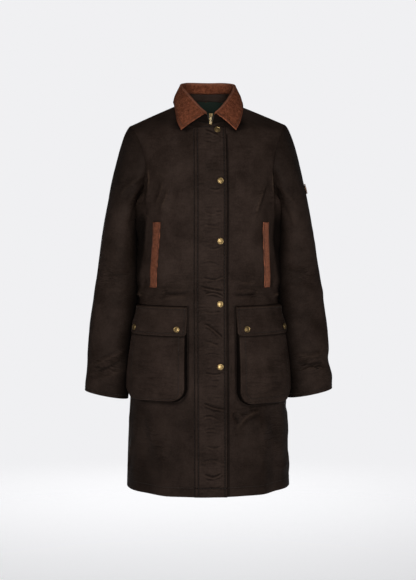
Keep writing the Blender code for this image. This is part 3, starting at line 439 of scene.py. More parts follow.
# %% Creases of the fronts
# Places are the distance from the front edge along the cloth and the height
FRONT_LEFT_CREASES = creases(
    ("chest drag high", (150, -175), (122, -215), (105, -255), 8, 3),
    ("chest drag low", (136, -195), (114, -240), (100, -288), 7, 2.3),
    ("chest level", (40, -277), (70, -283), (108, -275), 7, -1.2),
    ("armhole ridge", (160, -150), (170, -200), (186, -268), 8, 3.4),
    ("under the collar", (58, -80), (110, -128), 22, -1.6),
    ("rib side", (180, -290), (205, -345), (232, -385), 14, -3.2),
    ("waist", (36, -447), (80, -453), (128, -446), 6, -3),
    ("waist high", (48, -418), (85, -426), (132, -421), 6, 2.2),
    ("waist side", (160, -420), (200, -440), (248, -428), 12, -3.2),
    ("waist side low", (168, -454), (212, -465), (250, -450), 10, 2.4),
    ("by the flap", (34, -515), (46, -545), (53, -580), 6, -2.2),
    ("by the flap low", (36, -596), (46, -640), (54, -695), 7, -3),
    ("pocket drop", (122, -722), (82, -738), (50, -768), 7.5, 6.6),
    ("pocket drop short", (44, -724), (55, -742), (66, -764), 6, -5),
    ("pocket drop high", (100, -716), (70, -724), (46, -716), 5, 3.4),
    ("pocket drop bulge", (118, -735), (124, -765), (116, -800), 20, 4.5),
    ("pocket drop foot", (88, -765), (70, -790), (62, -822), 11, -3),
    ("skirt sweep", (128, -740), (165, -800), (208, -850), 20, 4.2),
    ("skirt sweep low", (148, -850), (190, -874), (238, -866), 10, 2.6),
    ("skirt hollow", (75, -830), (100, -860), (110, -900), 18, -2.8),
    ("side edge", (246, -715), (254, -765), (247, -820), 8, 2.8),
    ("side edge low", (226, -826), (246, -858), (258, -900), 9, 2.6),
    ("side under pocket", (232, -690), (244, -728), (268, -742), 10, -2.6),
)
FRONT_RIGHT_CREASES = creases(
    ("chest drag high", (96, -190), (108, -226), (124, -262), 8, 3),
    ("chest drag low", (112, -180), (124, -214), (142, -246), 7, 2.3),
    ("armhole ridge", (158, -150), (162, -196), (182, -246), 9, 3.4),
    ("armhole hollow", (178, -240), (192, -290), (226, -345), 14, -3),
    ("under the collar", (60, -82), (112, -125), 22, -1.6),
    ("waist", (40, -442), (90, -449), (150, -440), 6, -3),
    ("waist high", (46, -462), (80, -460), (120, -465), 6, 2),
    ("waist side", (168, -415), (205, -433), (250, -424), 12, -3.2),
    ("waist side low", (180, -448), (215, -456), (252, -446), 10, 2.4),
    ("by the flap", (36, -600), (44, -628), (52, -660), 6, -2),
    ("by the flap low", (37, -668), (46, -690), (56, -720), 7, -2.4),
    ("pocket drop", (70, -730), (52, -768), (40, -806), 12, -2.6),
    ("skirt sweep", (170, -730), (140, -800), (95, -865), 22, 4),
    ("skirt hollow", (110, -745), (82, -815), (50, -870), 20, -3.4),
    ("skirt low", (160, -830), (190, -862), (200, -905), 12, -2.8),
    ("side edge", (238, -700), (250, -745), (246, -790), 8, 2.8),
    ("side edge low", (222, -800), (240, -845), (252, -900), 9, 2.8),
    ("side under pocket", (226, -705), (246, -730), (270, -735), 10, -2.4),
)
print("creases:", len(FRONT_LEFT_CREASES), "left front,", len(FRONT_RIGHT_CREASES), "right front")

# %% Creases of the back and the sleeves
BACK_CREASES = creases(
    ("left blade", (130, -140), (105, -200), (85, -265), 12, 2.4),
    ("left armhole", (150, -180), (170, -230), (196, -285), 11, 2.6),
    ("left rib", (215, -300), (175, -345), (130, -362), 13, -2.8),
    ("left waist", (240, -418), (160, -440), (60, -428), 11, -3.4),
    ("left waist low", (225, -456), (150, -472), (90, -462), 10, 2.6),
    ("left seat", (60, -520), (110, -560), (170, -570), 16, 2.8),
    ("left skirt", (125, -660), (118, -760), (125, -890), 18, 4),
    ("left skirt side", (215, -690), (225, -780), (215, -880), 13, -3.4),
    ("right blade", (-120, -150), (-100, -205), (-88, -255), 12, 2.2),
    ("right armhole", (-148, -175), (-166, -235), (-190, -290), 11, 2.6),
    ("right rib", (-220, -320), (-170, -350), (-120, -350), 13, -2.8),
    ("right waist", (-235, -425), (-150, -436), (-50, -446), 11, -3.4),
    ("right waist low", (-230, -460), (-165, -468), (-100, -474), 10, 2.4),
    ("right seat", (-50, -530), (-105, -552), (-165, -585), 16, 2.6),
    ("right skirt", (-130, -680), (-126, -780), (-120, -890), 18, 4),
    ("right skirt side", (-210, -700), (-222, -790), (-218, -885), 13, -3.4),
    ("middle skirt", (12, -700), (4, -800), (16, -905), 20, -3.2),
    ("between blades", (-35, -150), (10, -180), (40, -172), 16, -1.8),
)
SLEEVE_LEFT_CREASES = creases(
    ("cap front", (60, -170), (85, -215), (95, -265), 12, 2.6),
    ("cap front low", (45, -215), (62, -260), (70, -310), 10, -2.6),
    ("inside elbow", (35, -385), (80, -402), (130, -392), 10, -3),
    ("inside elbow low", (40, -432), (85, -440), (125, -428), 9, 2.6),
    ("forearm", (90, -490), (125, -530), (150, -580), 13, -2.2),
    ("wrist upper", (45, -603), (90, -608), (136, -598), 6, 3.4),
    ("wrist middle", (40, -622), (85, -628), (130, -622), 6, -3.4),
    ("wrist lower", (60, -642), (95, -636), (136, -642), 6, 3),
    ("back elbow high", (215, -385), (255, -395), (300, -380), 12, 3),
    ("back elbow low", (205, -455), (250, -462), (295, -450), 12, 2.8),
    ("outer drape", (175, -300), (185, -400), (180, -520), 18, -2),
)
SLEEVE_RIGHT_CREASES = creases(
    ("cap front", (55, -165), (78, -205), (82, -250), 11, 2.8),
    ("cap front second", (85, -150), (105, -190), (112, -232), 10, 2),
    ("cap front low", (42, -220), (55, -262), (60, -312), 10, -2.8),
    ("inside elbow", (35, -395), (80, -410), (135, -402), 10, -3),
    ("inside elbow low", (40, -440), (90, -446), (130, -436), 9, 2.4),
    ("forearm", (60, -500), (85, -545), (95, -590), 13, -2.2),
    ("wrist upper", (30, -585), (75, -606), (125, -632), 6, 3.6),
    ("wrist middle", (28, -605), (70, -626), (115, -648), 6, -3.4),
    ("wrist lower", (20, -630), (60, -645), (100, -664), 6, 2.8),
    ("back elbow high", (215, -375), (255, -388), (300, -378), 12, 3),
    ("back elbow low", (205, -450), (250, -458), (295, -452), 12, 2.8),
    ("outer drape", (170, -310), (178, -420), (172, -540), 18, -2),
)
print("creases:", len(BACK_CREASES), "back,", len(SLEEVE_LEFT_CREASES) + len(SLEEVE_RIGHT_CREASES), "sleeves")

# %% Small unevenness of waxed cloth
RIPPLE_SIZE = 97
RIPPLE_TABLE = np.random.default_rng(7).random((RIPPLE_SIZE, RIPPLE_SIZE)) * 2 - 1
SHIFT_U, SHIFT_V = 13.7, 7.3    # places in the table between one piece of cloth and the next
BROAD_BUMP, FINE_BUMP = (0.0006, 0.045), (0.0003, 0.017)    # height and size
CALM_EDGE = 0.010           # creases die away this far from a calm zone


def ripple(u, v, size, shift):
    """Smooth unevenness between -1 and 1, with bumps of this size."""
    a, b = u / size + shift * SHIFT_U, v / size + shift * SHIFT_V
    i, j = np.floor(a).astype(int), np.floor(b).astype(int)
    f, g = ease(a - i), ease(b - j)
    i, j, next_i, next_j = (place % RIPPLE_SIZE for place in (i, j, i + 1, j + 1))
    low = RIPPLE_TABLE[i, j] * (1 - f) + RIPPLE_TABLE[next_i, j] * f
    high = RIPPLE_TABLE[i, next_j] * (1 - f) + RIPPLE_TABLE[next_i, next_j] * f
    return low * (1 - g) + high * g


def unevenness(u, v, shift):
    bumps = enumerate((BROAD_BUMP, FINE_BUMP))
    return sum(height * ripple(u, v, size, shift + k) for k, (height, size) in bumps)


def calm(u, v, zones):
    """1 where creases may be, falling to 0 inside the zones, each (low u, high u, low v, high v)."""
    keep = np.ones(u.shape)
    for low_u, high_u, low_v, high_v in zones:
        reach = np.maximum(np.maximum(low_u - u, u - high_u), np.maximum(low_v - v, v - high_v))
        keep = keep * ease(reach / CALM_EDGE)
    return keep


print("unevenness at one place, mm:", unevenness(np.array([0.1]), np.array([0.2]), 1) * 1e3)

# %% [markdown]
# ## Finishes
# Waxed cotton is a tight weave filled with oil and wax: nearly black-brown, with a dull sheen. Where it is
# bent the wax cracks and the cloth shows lighter and browner. Painted shade darkens it along a row of
# stitches, in a fold and where another piece lies close. Painting that by hand would need image maps; here
# each grid carries three values at every point, its wear, its painted shade and its crumple, and shader groups
# turn them into broken-up masks for all the cloths.

# %% Help for building shader groups
FULL_TURN = 2 * math.pi
MIX_FIRST, MIX_SECOND, MIX_COLOUR = 6, 7, 2     # a Mix node's own sockets for colours


def feed(tree, socket, value):
    """Link a socket to another one, or set its own value."""
    if isinstance(value, bpy.types.NodeSocket):
        tree.links.new(value, socket)
    elif value is not None:
        socket.default_value = value


def shader_group(name, inputs, outputs):
    """A node group with named values in, each with its default, and named values out."""
    group = bpy.data.node_groups.new(name, "ShaderNodeTree")
    for label, default in inputs.items():
        socket = group.interface.new_socket(name=label, in_out="INPUT", socket_type="NodeSocketFloat")
        socket.default_value = default
    for label in outputs:
        group.interface.new_socket(name=label, in_out="OUTPUT", socket_type="NodeSocketFloat")
    print("group:", name, [*inputs], "to", outputs)
    return group, group.nodes.new("NodeGroupInput").outputs, group.nodes.new("NodeGroupOutput").inputs


def math_node(tree, operation, first, second=None, clamp=False):
    """A sum on two sockets or numbers."""
    node = tree.nodes.new("ShaderNodeMath")
    node.operation = operation
    node.use_clamp = clamp
    feed(tree, node.inputs[0], first)
    feed(tree, node.inputs[1], second)
    return node.outputs[0]


def times(tree, first, second, clamp=False):
    return math_node(tree, "MULTIPLY", first, second, clamp)


def plus(tree, first, second, clamp=False):
    return math_node(tree, "ADD", first, second, clamp)


def vector_node(tree, operation, first, second=None):
    """A sum on one or two vectors."""
    node = tree.nodes.new("ShaderNodeVectorMath")
    node.operation = operation
    feed(tree, node.inputs[0], first)
    feed(tree, node.inputs[1], second)
    return node.outputs["Value" if operation == "LENGTH" else "Vector"]


def range_node(tree, value, low, high, to_low=0.0, to_high=1.0):
    node = tree.nodes.new("ShaderNodeMapRange")
    node.interpolation_type = "SMOOTHSTEP"
    labels = ("Value", "From Min", "From Max", "To Min", "To Max")
    for label, given in zip(labels, (value, low, high, to_low, to_high)):
        feed(tree, node.inputs[label], given)
    return node.outputs["Result"]


def noise_node(tree, vector, scale, detail=4.0, roughness=0.55, output="Fac"):
    node = tree.nodes.new("ShaderNodeTexNoise")
    labels = ("Vector", "Scale", "Detail", "Roughness")
    for label, given in zip(labels, (vector, scale, detail, roughness)):
        feed(tree, node.inputs[label], given)
    return node.outputs[output]


def mix_colour(tree, mask, first, second):
    """A mix of two colours, each a socket or three numbers."""
    node = tree.nodes.new("ShaderNodeMix")
    node.data_type = "RGBA"
    tree.links.new(mask, node.inputs[0])
    for index, colour in ((MIX_FIRST, first), (MIX_SECOND, second)):
        feed(tree, node.inputs[index], (*colour, 1.0) if isinstance(colour, tuple) else colour)
    return node.outputs[MIX_COLOUR]


def point_value(tree, name):
    """A value that the mesh carries at every point."""
    node = tree.nodes.new("ShaderNodeAttribute")
    node.attribute_name = name
    return node.outputs["Fac"]


def cut_place(tree):
    """The place on the flat cut, in metres."""
    node = tree.nodes.new("ShaderNodeUVMap")
    node.uv_map = "cut"
    return node.outputs["UV"]


def own_place(tree):
    return tree.nodes.new("ShaderNodeTexCoord").outputs["Object"]


def split_node(tree, vector):
    node = tree.nodes.new("ShaderNodeSeparateXYZ")
    tree.links.new(vector, node.inputs[0])
    return node.outputs


print("node helpers ready")

# %% The weave group
SLUB_SHARE = 0.3            # thick threads, in shares of the thread count
weave_group, given, result = shader_group("weave", {"Threads": 1500.0, "Unevenness": 0.35}, ["Height"])
place = cut_place(weave_group)
way = split_node(weave_group, place)
threads = times(weave_group, given["Threads"], FULL_TURN)
warp = math_node(weave_group, "SINE", times(weave_group, way["X"], threads))
weft = math_node(weave_group, "SINE", times(weave_group, way["Y"], threads))
slub = noise_node(weave_group, place, times(weave_group, given["Threads"], SLUB_SHARE), 3.0)
uneven = times(weave_group, slub, given["Unevenness"])
feed(weave_group, result["Height"], plus(weave_group, times(weave_group, warp, weft), uneven))

# %% The wear and painted shade group
GRAIN_FROM, GRAIN_TO = 0.36, 0.66       # noise between which the wear breaks up
CLOUD_SCALE, CLOUD_FROM, CLOUD_TO = 13.0, 0.24, 0.78
wear_and_shade_group, given, result = shader_group(
    "fold_wear_and_shade", {"Grain": 260.0, "Breakup": 0.6}, ["Worn", "Painted_Shade", "Bloom"])
place = own_place(wear_and_shade_group)
grain = noise_node(wear_and_shade_group, place, given["Grain"], 6.0, 0.65)
broken = times(wear_and_shade_group, range_node(wear_and_shade_group, grain, GRAIN_FROM, GRAIN_TO), given["Breakup"])
kept = math_node(wear_and_shade_group, "SUBTRACT", 1.0, broken)
feed(wear_and_shade_group, result["Worn"], times(wear_and_shade_group, point_value(wear_and_shade_group, "wear"), kept, True))
# Painted shade: the mesh's value for stitched lines, hollow bends and shaded places, passed on as a mask
feed(wear_and_shade_group, result["Painted_Shade"], times(wear_and_shade_group, point_value(wear_and_shade_group, "painted_shade"), 1.0, True))
clouds = noise_node(wear_and_shade_group, place, CLOUD_SCALE, 6.0, 0.68)
feed(wear_and_shade_group, result["Bloom"], range_node(wear_and_shade_group, clouds, CLOUD_FROM, CLOUD_TO))

# %% The fine crease group
STIR_SCALE, STIR_REACH = 30.0, (0.6, 1.3, 0.0)      # how the creases wander
SIDE_SHARE, LINE_SHARE = 0.34, 0.09     # of a wave's height: a crease's side, and the painted shade line in it
PATCH_FROM, PATCH_TO, PATCH_LEAST = 0.38, 0.62, 0.25
crease_group, given, result = shader_group(
    "fine_creases", {"Along": 24.0, "Across": 80.0, "Patches": 8.0}, ["Height", "Hollow"])
place = cut_place(crease_group)
stretch = crease_group.nodes.new("ShaderNodeCombineXYZ")
feed(crease_group, stretch.inputs["X"], given["Along"])
feed(crease_group, stretch.inputs["Y"], given["Across"])
stretched = vector_node(crease_group, "MULTIPLY", place, stretch.outputs[0])
stir = noise_node(crease_group, place, STIR_SCALE, 3.0, 0.5, "Color")
stirred = vector_node(crease_group, "ADD", stretched, vector_node(crease_group, "MULTIPLY", stir, STIR_REACH))
waves = times(crease_group, noise_node(crease_group, stirred, 1.0, 2.5, 0.5), 2.0)
fold = math_node(crease_group, "ABSOLUTE", math_node(crease_group, "SUBTRACT", waves, 1.0))
patches = noise_node(crease_group, place, given["Patches"], 3.0)
where = range_node(crease_group, patches, PATCH_FROM, PATCH_TO, PATCH_LEAST, 1.0)
amount = times(crease_group, where, point_value(crease_group, "crumple"))
side = range_node(crease_group, fold, 0.0, SIDE_SHARE)
line = range_node(crease_group, fold, 0.0, LINE_SHARE, 1.0, 0.0)
feed(crease_group, result["Height"], times(crease_group, side, amount))
feed(crease_group, result["Hollow"], times(crease_group, line, amount))

# %% Waxed cotton
WAX_DARK, WAX_LIGHT = (0.0120, 0.0074, 0.0055), (0.0300, 0.0196, 0.0154)
# The second colour on the next line is the near-black that painted shade mixes in
WAX_WORN, WAX_PAINTED_SHADE = (0.070, 0.044, 0.030), (0.0020, 0.0014, 0.0011)
WAX_SHEEN = 0.02
SPECKLE_SCALE, SPECKLE = 330.0, 0.22
# Strength of the painted shade from the mesh, and of the painted shade lines in the fine creases
PAINTED_SHADE_DARK, CREASE_DARK = 0.95, 0.85
OILY_LOW, OILY_HIGH, WORN_DRY = 0.50, 0.60, 0.16        # roughness
CRUMPLE_SCALE, CRUMPLE_DEPTH, WEAVE_SHARE, CREASE_SHARE = 60.0, 0.0014, 0.05, 2.0


def new_material(name, roughness, **constants):
    """A material with a plain shader whose unchanging values sit on its own sockets."""
    made = bpy.data.materials.new(name)
    made.use_nodes = True
    shader = made.node_tree.nodes["Principled BSDF"]
    shader.inputs["Roughness"].default_value = roughness
    for label, value in constants.items():
        shader.inputs[label.replace("_", " ")].default_value = value
    return made, made.node_tree, shader.inputs


def add_group(tree, group, **values):
    node = tree.nodes.new("ShaderNodeGroup")
    node.node_tree = group
    for label, value in values.items():
        node.inputs[label].default_value = value
    return node.outputs


def add_bump(tree, shader, height, distance, strength=1.0):
    bump = tree.nodes.new("ShaderNodeBump")
    bump.inputs["Distance"].default_value = distance
    bump.inputs["Strength"].default_value = strength
    tree.links.new(height, bump.inputs["Height"])
    tree.links.new(bump.outputs["Normal"], shader["Normal"])


waxed, tree, shader = new_material("oiled_cotton", OILY_LOW, Specular_IOR_Level=WAX_SHEEN)
wear = add_group(tree, wear_and_shade_group, Grain=240.0, Breakup=0.65)
weave = add_group(tree, weave_group, Threads=1300.0, Unevenness=0.4)
creased = add_group(tree, crease_group, Along=11.0, Across=75.0, Patches=11.0)
place = own_place(tree)
speckle = range_node(tree, noise_node(tree, place, SPECKLE_SCALE, 4.0, 0.7), 0.30, 0.70, -SPECKLE, SPECKLE)
cloth_colour = mix_colour(tree, plus(tree, wear["Bloom"], speckle, True), WAX_DARK, WAX_LIGHT)
worn_colour = mix_colour(tree, wear["Worn"], cloth_colour, WAX_WORN)
# Painted shade: crease lines, stitched lines, hollows and shaded places darken the cloth towards near-black
in_creases = times(tree, creased["Hollow"], CREASE_DARK)
dark = math_node(tree, "MAXIMUM", times(tree, wear["Painted_Shade"], PAINTED_SHADE_DARK), in_creases)
feed(tree, shader["Base Color"], mix_colour(tree, dark, worn_colour, WAX_PAINTED_SHADE))
oily = range_node(tree, wear["Bloom"], 0.0, 1.0, OILY_LOW, OILY_HIGH)
rough = plus(tree, oily, times(tree, wear["Worn"], WORN_DRY))
feed(tree, shader["Roughness"], math_node(tree, "MAXIMUM", rough, dark))
crumple = noise_node(tree, place, CRUMPLE_SCALE, 5.0, 0.62)
height = plus(tree, times(tree, weave["Height"], WEAVE_SHARE), crumple)
height = plus(tree, height, times(tree, creased["Height"], CREASE_SHARE))
add_bump(tree, shader, height, CRUMPLE_DEPTH, 0.9)
print("material:", waxed.name)

# %% [markdown]
# Needlecord is a pile cloth: fine ribs whose nap catches the light unevenly and is rubbed flat in places.
# Real ribs would need millions of faces, so they are a wave across the cut that sets both bump and colour; the
# colour is painted light and shade on the ribs.
# Lining, tape, thread and patch are plain weaves in two close tones from one group.

# %% Needlecord, lining, tape, patch and thread
CORD_RIBS, RIB_DEPTH = 430.0, 0.00035       # ribs in a metre of cloth
CORD_DARK, CORD_LIGHT = (0.028, 0.0068, 0.0028), (0.226, 0.071, 0.034)
# The second colour on the next line is the cord under painted shade
CORD_WORN, CORD_SHADED = (0.27, 0.115, 0.072), (0.040, 0.015, 0.009)
RIB_LIGHT, NAP_LIGHT, RUB_LIGHT = 0.12, 0.4, 0.6        # what each adds to the tone; the ribs add painted light and shade
CORD_TONE_FROM, CORD_TONE_TO = 0.37, 0.64
cord, tree, shader = new_material("ribbed_cord", 0.9, Specular_IOR_Level=0.06)
wear = add_group(tree, wear_and_shade_group, Grain=420.0, Breakup=0.8)
across = split_node(tree, cut_place(tree))["X"]
rib = math_node(tree, "SINE", times(tree, across, CORD_RIBS * FULL_TURN))
nap = noise_node(tree, own_place(tree), 520.0, 5.0, 0.7)
rubbed = noise_node(tree, own_place(tree), 130.0, 5.0, 0.7)
pile = plus(tree, times(tree, nap, NAP_LIGHT), times(tree, rubbed, RUB_LIGHT))
lit = range_node(tree, plus(tree, times(tree, rib, RIB_LIGHT), pile), CORD_TONE_FROM, CORD_TONE_TO)
cord_colour = mix_colour(tree, lit, CORD_DARK, CORD_LIGHT)
cord_worn = mix_colour(tree, times(tree, wear["Worn"], 0.5), cord_colour, CORD_WORN)
# Painted shade darkens the cord
painted_dark = times(tree, wear["Painted_Shade"], 0.55)
feed(tree, shader["Base Color"], mix_colour(tree, painted_dark, cord_worn, CORD_SHADED))
add_bump(tree, shader, plus(tree, rib, times(tree, nap, 0.8)), RIB_DEPTH)


def woven(name, dark_colour, light_colour, threads, roughness):
    """A plain woven cloth in two close tones."""
    made, tree, shader = new_material(name, roughness, Specular_IOR_Level=0.3)
    weave = add_group(tree, weave_group, Threads=threads, Unevenness=0.6)
    wear = add_group(tree, wear_and_shade_group, Grain=300.0, Breakup=0.8)
    body = mix_colour(tree, range_node(tree, weave["Height"], -0.8, 1.2), dark_colour, light_colour)
    feed(tree, shader["Base Color"], mix_colour(tree, times(tree, wear["Bloom"], 0.35), body, dark_colour))
    add_bump(tree, shader, weave["Height"], 0.00025)
    return made


lining = woven("lining_cotton", (0.0040, 0.0100, 0.0058), (0.0085, 0.0180, 0.0110), 1400.0, 0.85)
tape = woven("tape_weave", (0.0090, 0.0075, 0.0062), (0.020, 0.017, 0.014), 1100.0, 0.75)
thread = woven("thread", (0.014, 0.0100, 0.0078), (0.036, 0.026, 0.020), 900.0, 0.6)
patch = woven("patch_hide", (0.110, 0.058, 0.034), (0.230, 0.140, 0.090), 260.0, 0.7)
print("materials:", [m.name for m in (cord, lining, tape, thread, patch)])

# %% [markdown]
# The metal is old brass. Handling keeps the high places bright while a dull film creeps over the rest, so one
# noise decides at each place how bright and how smooth it is. The slider, hidden behind the tab, gets the
# darkest brass as painted shade.

# %% Aged brass
FILM_SCALE, FILM_FROM, FILM_TO = 620.0, 0.40, 0.72
BRIGHT_ROUGH, DULL_ROUGH = 0.40, 0.60


def tarnished(name, bright, dull):
    """Metal whose dull film lies in patches."""
    made, tree, shader = new_material(name, BRIGHT_ROUGH, Metallic=1.0)
    place = own_place(tree)
    film = range_node(tree, noise_node(tree, place, FILM_SCALE, 5.0, 0.65), FILM_FROM, FILM_TO)
    feed(tree, shader["Base Color"], mix_colour(tree, film, bright, dull))
    feed(tree, shader["Roughness"], range_node(tree, film, 0.0, 1.0, BRIGHT_ROUGH, DULL_ROUGH))
    add_bump(tree, shader, noise_node(tree, place, 900.0, 3.0), 0.00012, 0.5)
    return made


brass = tarnished("dulled_brass", (0.25, 0.172, 0.076), (0.085, 0.054, 0.023))
# The slider's brass is darker, as painted shade
shaded_brass = tarnished("brass_in_painted_shade", (0.060, 0.042, 0.020), (0.024, 0.016, 0.008))
bright_brass = tarnished("rubbed_brass", (0.36, 0.30, 0.19), (0.17, 0.13, 0.075))
print("materials:", brass.name, shaded_brass.name, bright_brass.name)

# %% [markdown]
# ## From a grid to a piece of cloth
# A piece of cloth has two faces and an edge that was turned under, so its edge is round. Blender's Solidify
# would leave square edges, and the smooth shading would smear over them. So the shell is put together here:
# the outer face, the inner face, and a round rim that stays inside the cut. Convex bends get the wear value.

# %% Sew a shell
BODY_CLOTH = 0.0018
RIM_INSET = 0.45            # of the cloth's thickness, at the round edge
WEAR_FROM, WEAR_TO = 24.0, 120.0    # bends in 1/m between which the wax cracks
# Painted shade in hollow bends: the bends in 1/m between which it grows, and its strength
HOLLOW_FROM, HOLLOW_TO, HOLLOW_DARK = 12.0, 130.0, 0.7
EDGE_WEAR = 0.22
STITCH_SHADE_WIDTH = 0.0016


def bends(cloth, way=1.0):
    """How convex the cloth is at each place, in 1/m, or how hollow with way -1."""
    total = np.zeros(cloth.u.shape)
    for axis in (0, 1):
        p = np.moveaxis(cloth.points, axis, 0)
        n = np.moveaxis(cloth.normals, axis, 0)
        step = np.linalg.norm(p[2:] - p[:-2], axis=-1) / 2
        bend = 2 * ((p[1:-1] - (p[2:] + p[:-2]) / 2) * n[1:-1]).sum(axis=-1) / np.maximum(step, 1e-5) ** 2
        bend = np.concatenate([bend[:1], bend, bend[-1:]])
        total = np.maximum(total, np.moveaxis(bend, 0, axis) * way)
    return total


def stitch_shade_of(lines, cloth):
    """How much painted shade the stitched lines lay along their grooves at each place."""
    painted_shade = np.zeros(cloth.u.shape)
    for line in lines:
        off = near_path(np.array(line, float), cloth.u, cloth.v)[0]
        painted_shade = np.maximum(painted_shade, bell(off, 0.0, STITCH_SHADE_WIDTH))
    return painted_shade


def grid_quads(rows, columns, start, flip):
    a = (np.arange(rows - 1)[:, None] * columns + np.arange(columns - 1)[None]).ravel() + start
    quads = np.stack([a, a + 1, a + 1 + columns, a + columns], axis=1)
    return quads[:, ::-1] if flip else quads


def turned_shell(points, normals, quads, thickness, turned):
    """Vertices and faces of the two faces of the cloth and its round rim."""
    count = len(points)
    edges = np.concatenate([quads[:, [k, (k + 1) % 4]] for k in range(4)])
    key = edges.min(axis=1) * count + edges.max(axis=1)
    first, uses = np.unique(key, return_index=True, return_counts=True)[1:]
    rim = edges[first[uses == 1]]
    out = np.zeros_like(points)
    away = np.cross(unit(points[rim[:, 1]] - points[rim[:, 0]]), normals[rim[:, 0]])
    np.add.at(out, rim[:, 0], away)
    np.add.at(out, rim[:, 1], away)
    on_rim = np.unique(rim)
    outer = points - unit(out) * turned[:, None] * thickness * RIM_INSET
    middle = points[on_rim] - normals[on_rim] * thickness / 2
    place_of = np.zeros(count, int)
    place_of[on_rim] = 2 * count + np.arange(len(on_rim))
    a, b = rim[:, 0], rim[:, 1]
    round_a = np.stack([b, a, place_of[a], place_of[b]], axis=1)
    round_b = np.stack([place_of[b], place_of[a], a + count, b + count], axis=1)
    vertices = np.concatenate([outer, outer - normals * thickness, middle])
    return vertices, quads, quads[:, ::-1] + count, np.concatenate([round_a, round_b]), on_rim


def put(name, data):
    made = bpy.data.objects.new(name, data)
    bpy.context.scene.collection.objects.link(made)
    return made


def sew(name, cloths, thickness, finishes, lines=()):
    """One piece of cloth from one grid, or from two halves that meet. The second finish is for the inside."""
    points = np.concatenate([c.points.reshape(-1, 3) for c in cloths])
    normals = np.concatenate([c.normals.reshape(-1, 3) for c in cloths])
    turned = np.concatenate([c.turned.ravel() for c in cloths])
    values = []
    for c in cloths:
        worn = np.maximum(ease((bends(c) - WEAR_FROM) / (WEAR_TO - WEAR_FROM)) * c.worn, c.rub)
        hollow = HOLLOW_DARK * ease((bends(c, -1.0) - HOLLOW_FROM) / (HOLLOW_TO - HOLLOW_FROM))
        # Painted shade: stitched lines, hollow bends and the cloth's own shade value darken it
        painted_dark = np.maximum(np.maximum(stitch_shade_of(lines, c) * c.draw, hollow), c.shade)
        crumple = np.broadcast_to(c.crumple, c.u.shape)
        values.append(np.stack([x.ravel() for x in (c.u, c.v, worn, painted_dark, crumple)], axis=1))
    values = np.concatenate(values)
    quads, start = [], 0
    for c in cloths:
        rows, columns = c.u.shape
        quads.append(grid_quads(rows, columns, start, c.sign < 0))
        start += rows * columns
    quads = np.concatenate(quads)
    if len(cloths) > 1:
        first, where = np.unique(np.round(points, 6), axis=0, return_index=True, return_inverse=True)[1:]
        points, normals, values, turned = (given[first] for given in (points, normals, values, turned))
        quads = where.reshape(-1)[quads]
    vertices, outside, inside, rim, on_rim = turned_shell(points, normals, quads, thickness, turned)
    faces = np.concatenate([outside, inside, rim])
    values = np.concatenate([values, values, values[on_rim]])
    edge_worn = EDGE_WEAR * float(np.mean(cloths[0].worn))
    values[on_rim, 2] = np.maximum(values[on_rim, 2], edge_worn)
    values[2 * len(points):, 2] = edge_worn
    mesh = bpy.data.meshes.new(name)
    mesh.from_pydata(vertices.tolist(), [], faces.tolist())
    for finish in finishes:
        mesh.materials.append(finish)
    index = np.zeros(len(faces), np.int32)
    index[len(outside):len(outside) + len(inside)] = len(finishes) - 1
    mesh.polygons.foreach_set("material_index", index)
    mesh.polygons.foreach_set("use_smooth", np.ones(len(faces), bool))
    for label, column in (("wear", 2), ("painted_shade", 3), ("crumple", 4)):
        carried = mesh.attributes.new(label, "FLOAT", "POINT")
        carried.data.foreach_set("value", values[:, column].astype(np.float32))
    layer = mesh.uv_layers.new(name="cut")
    layer.data.foreach_set("uv", values[faces.ravel(), :2].astype(np.float32).ravel())
    mesh.update()
    return put(name, mesh)


def dress(piece, node):
    """Let a piece ride and stand for its solid."""
    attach(piece, "jacket")
    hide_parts(node)


print("sewing ready")

# %% [markdown]
# ## Fronts, back and lining
# The two fronts meet under the storm flap. The back is cut on the fold, so its two halves share the centre
# line up to the neck. The inside of the body is lined in green; a lining piece shows behind the neck.

# %% Cut and sew the fronts
HEM_LINE = -0.904           # the hem was turned up 22 mm and stitched
FLAP_CLEAR = 0.040          # creases of a front start outside the storm flap
SHOULDER_CLEAR = 0.03       # and end this far under the shoulder
POCKET_ZONE = (0.047, 0.220, -0.722, -0.466)
WELT_ZONE = (0.118, 0.168, -0.446, -0.270)
WAIST, WAIST_SPREAD, SKIRT = -0.438, 0.032, -0.700
# Painted shade that darkens the skirt towards the hem
SKIRT_SHADE = 0.20
SWELL_OFF, SWELL_WIDTH = 0.027, 0.017       # from the side seam
FRONT_SWELL = (0.0088, -0.203, -0.478)      # the cloth stands fuller beside the arm: rise, top, foot
BACK_SWELL = (0.0060, -0.215, -0.430)
WORN_REACH = 0.06           # the cloth is most worn this close to the side seam
WAX_STITCH_SHADE = 0.6              # how much painted shade the stitched lines lay on the wax
SHADE_DEPTH = 0.92
FLAP_SHADE = 0.0382         # painted shadow of the storm flap's free edge on the left front, along this line
# Painted shadow beside each pocket's inner side and under its foot
POCKET_SIDE_SHADE = [(0.0565, -0.480), (0.0565, -0.672)]
POCKET_FOOT_SHADE = [(0.0565, -0.672), (0.0610, -0.695), (0.0740, -0.711), (0.0950, -0.715), (0.1900, -0.715)]
POCKET_FOOT_RISE = 0.0070   # the right pocket ends this much higher
# Painted shadow under the collar's edges
COLLAR_SHADES = [
    ([(0.004, -0.036), (0.034, -0.050)], 0.011),
    ([(0.004, -0.030), (0.036, -0.048), (0.060, -0.064)], 0.0075),
]
# Height, and the distance at which the painted shade beside the arm starts
ARM_SHADE = [(-0.22, 0.192), (-0.28, 0.174), (-0.33, 0.175), (-0.437, 0.191), (-0.50, 0.203)]
ARM_DARK, ARM_TOP, ARM_FOOT = 0.93, -0.225, -0.500


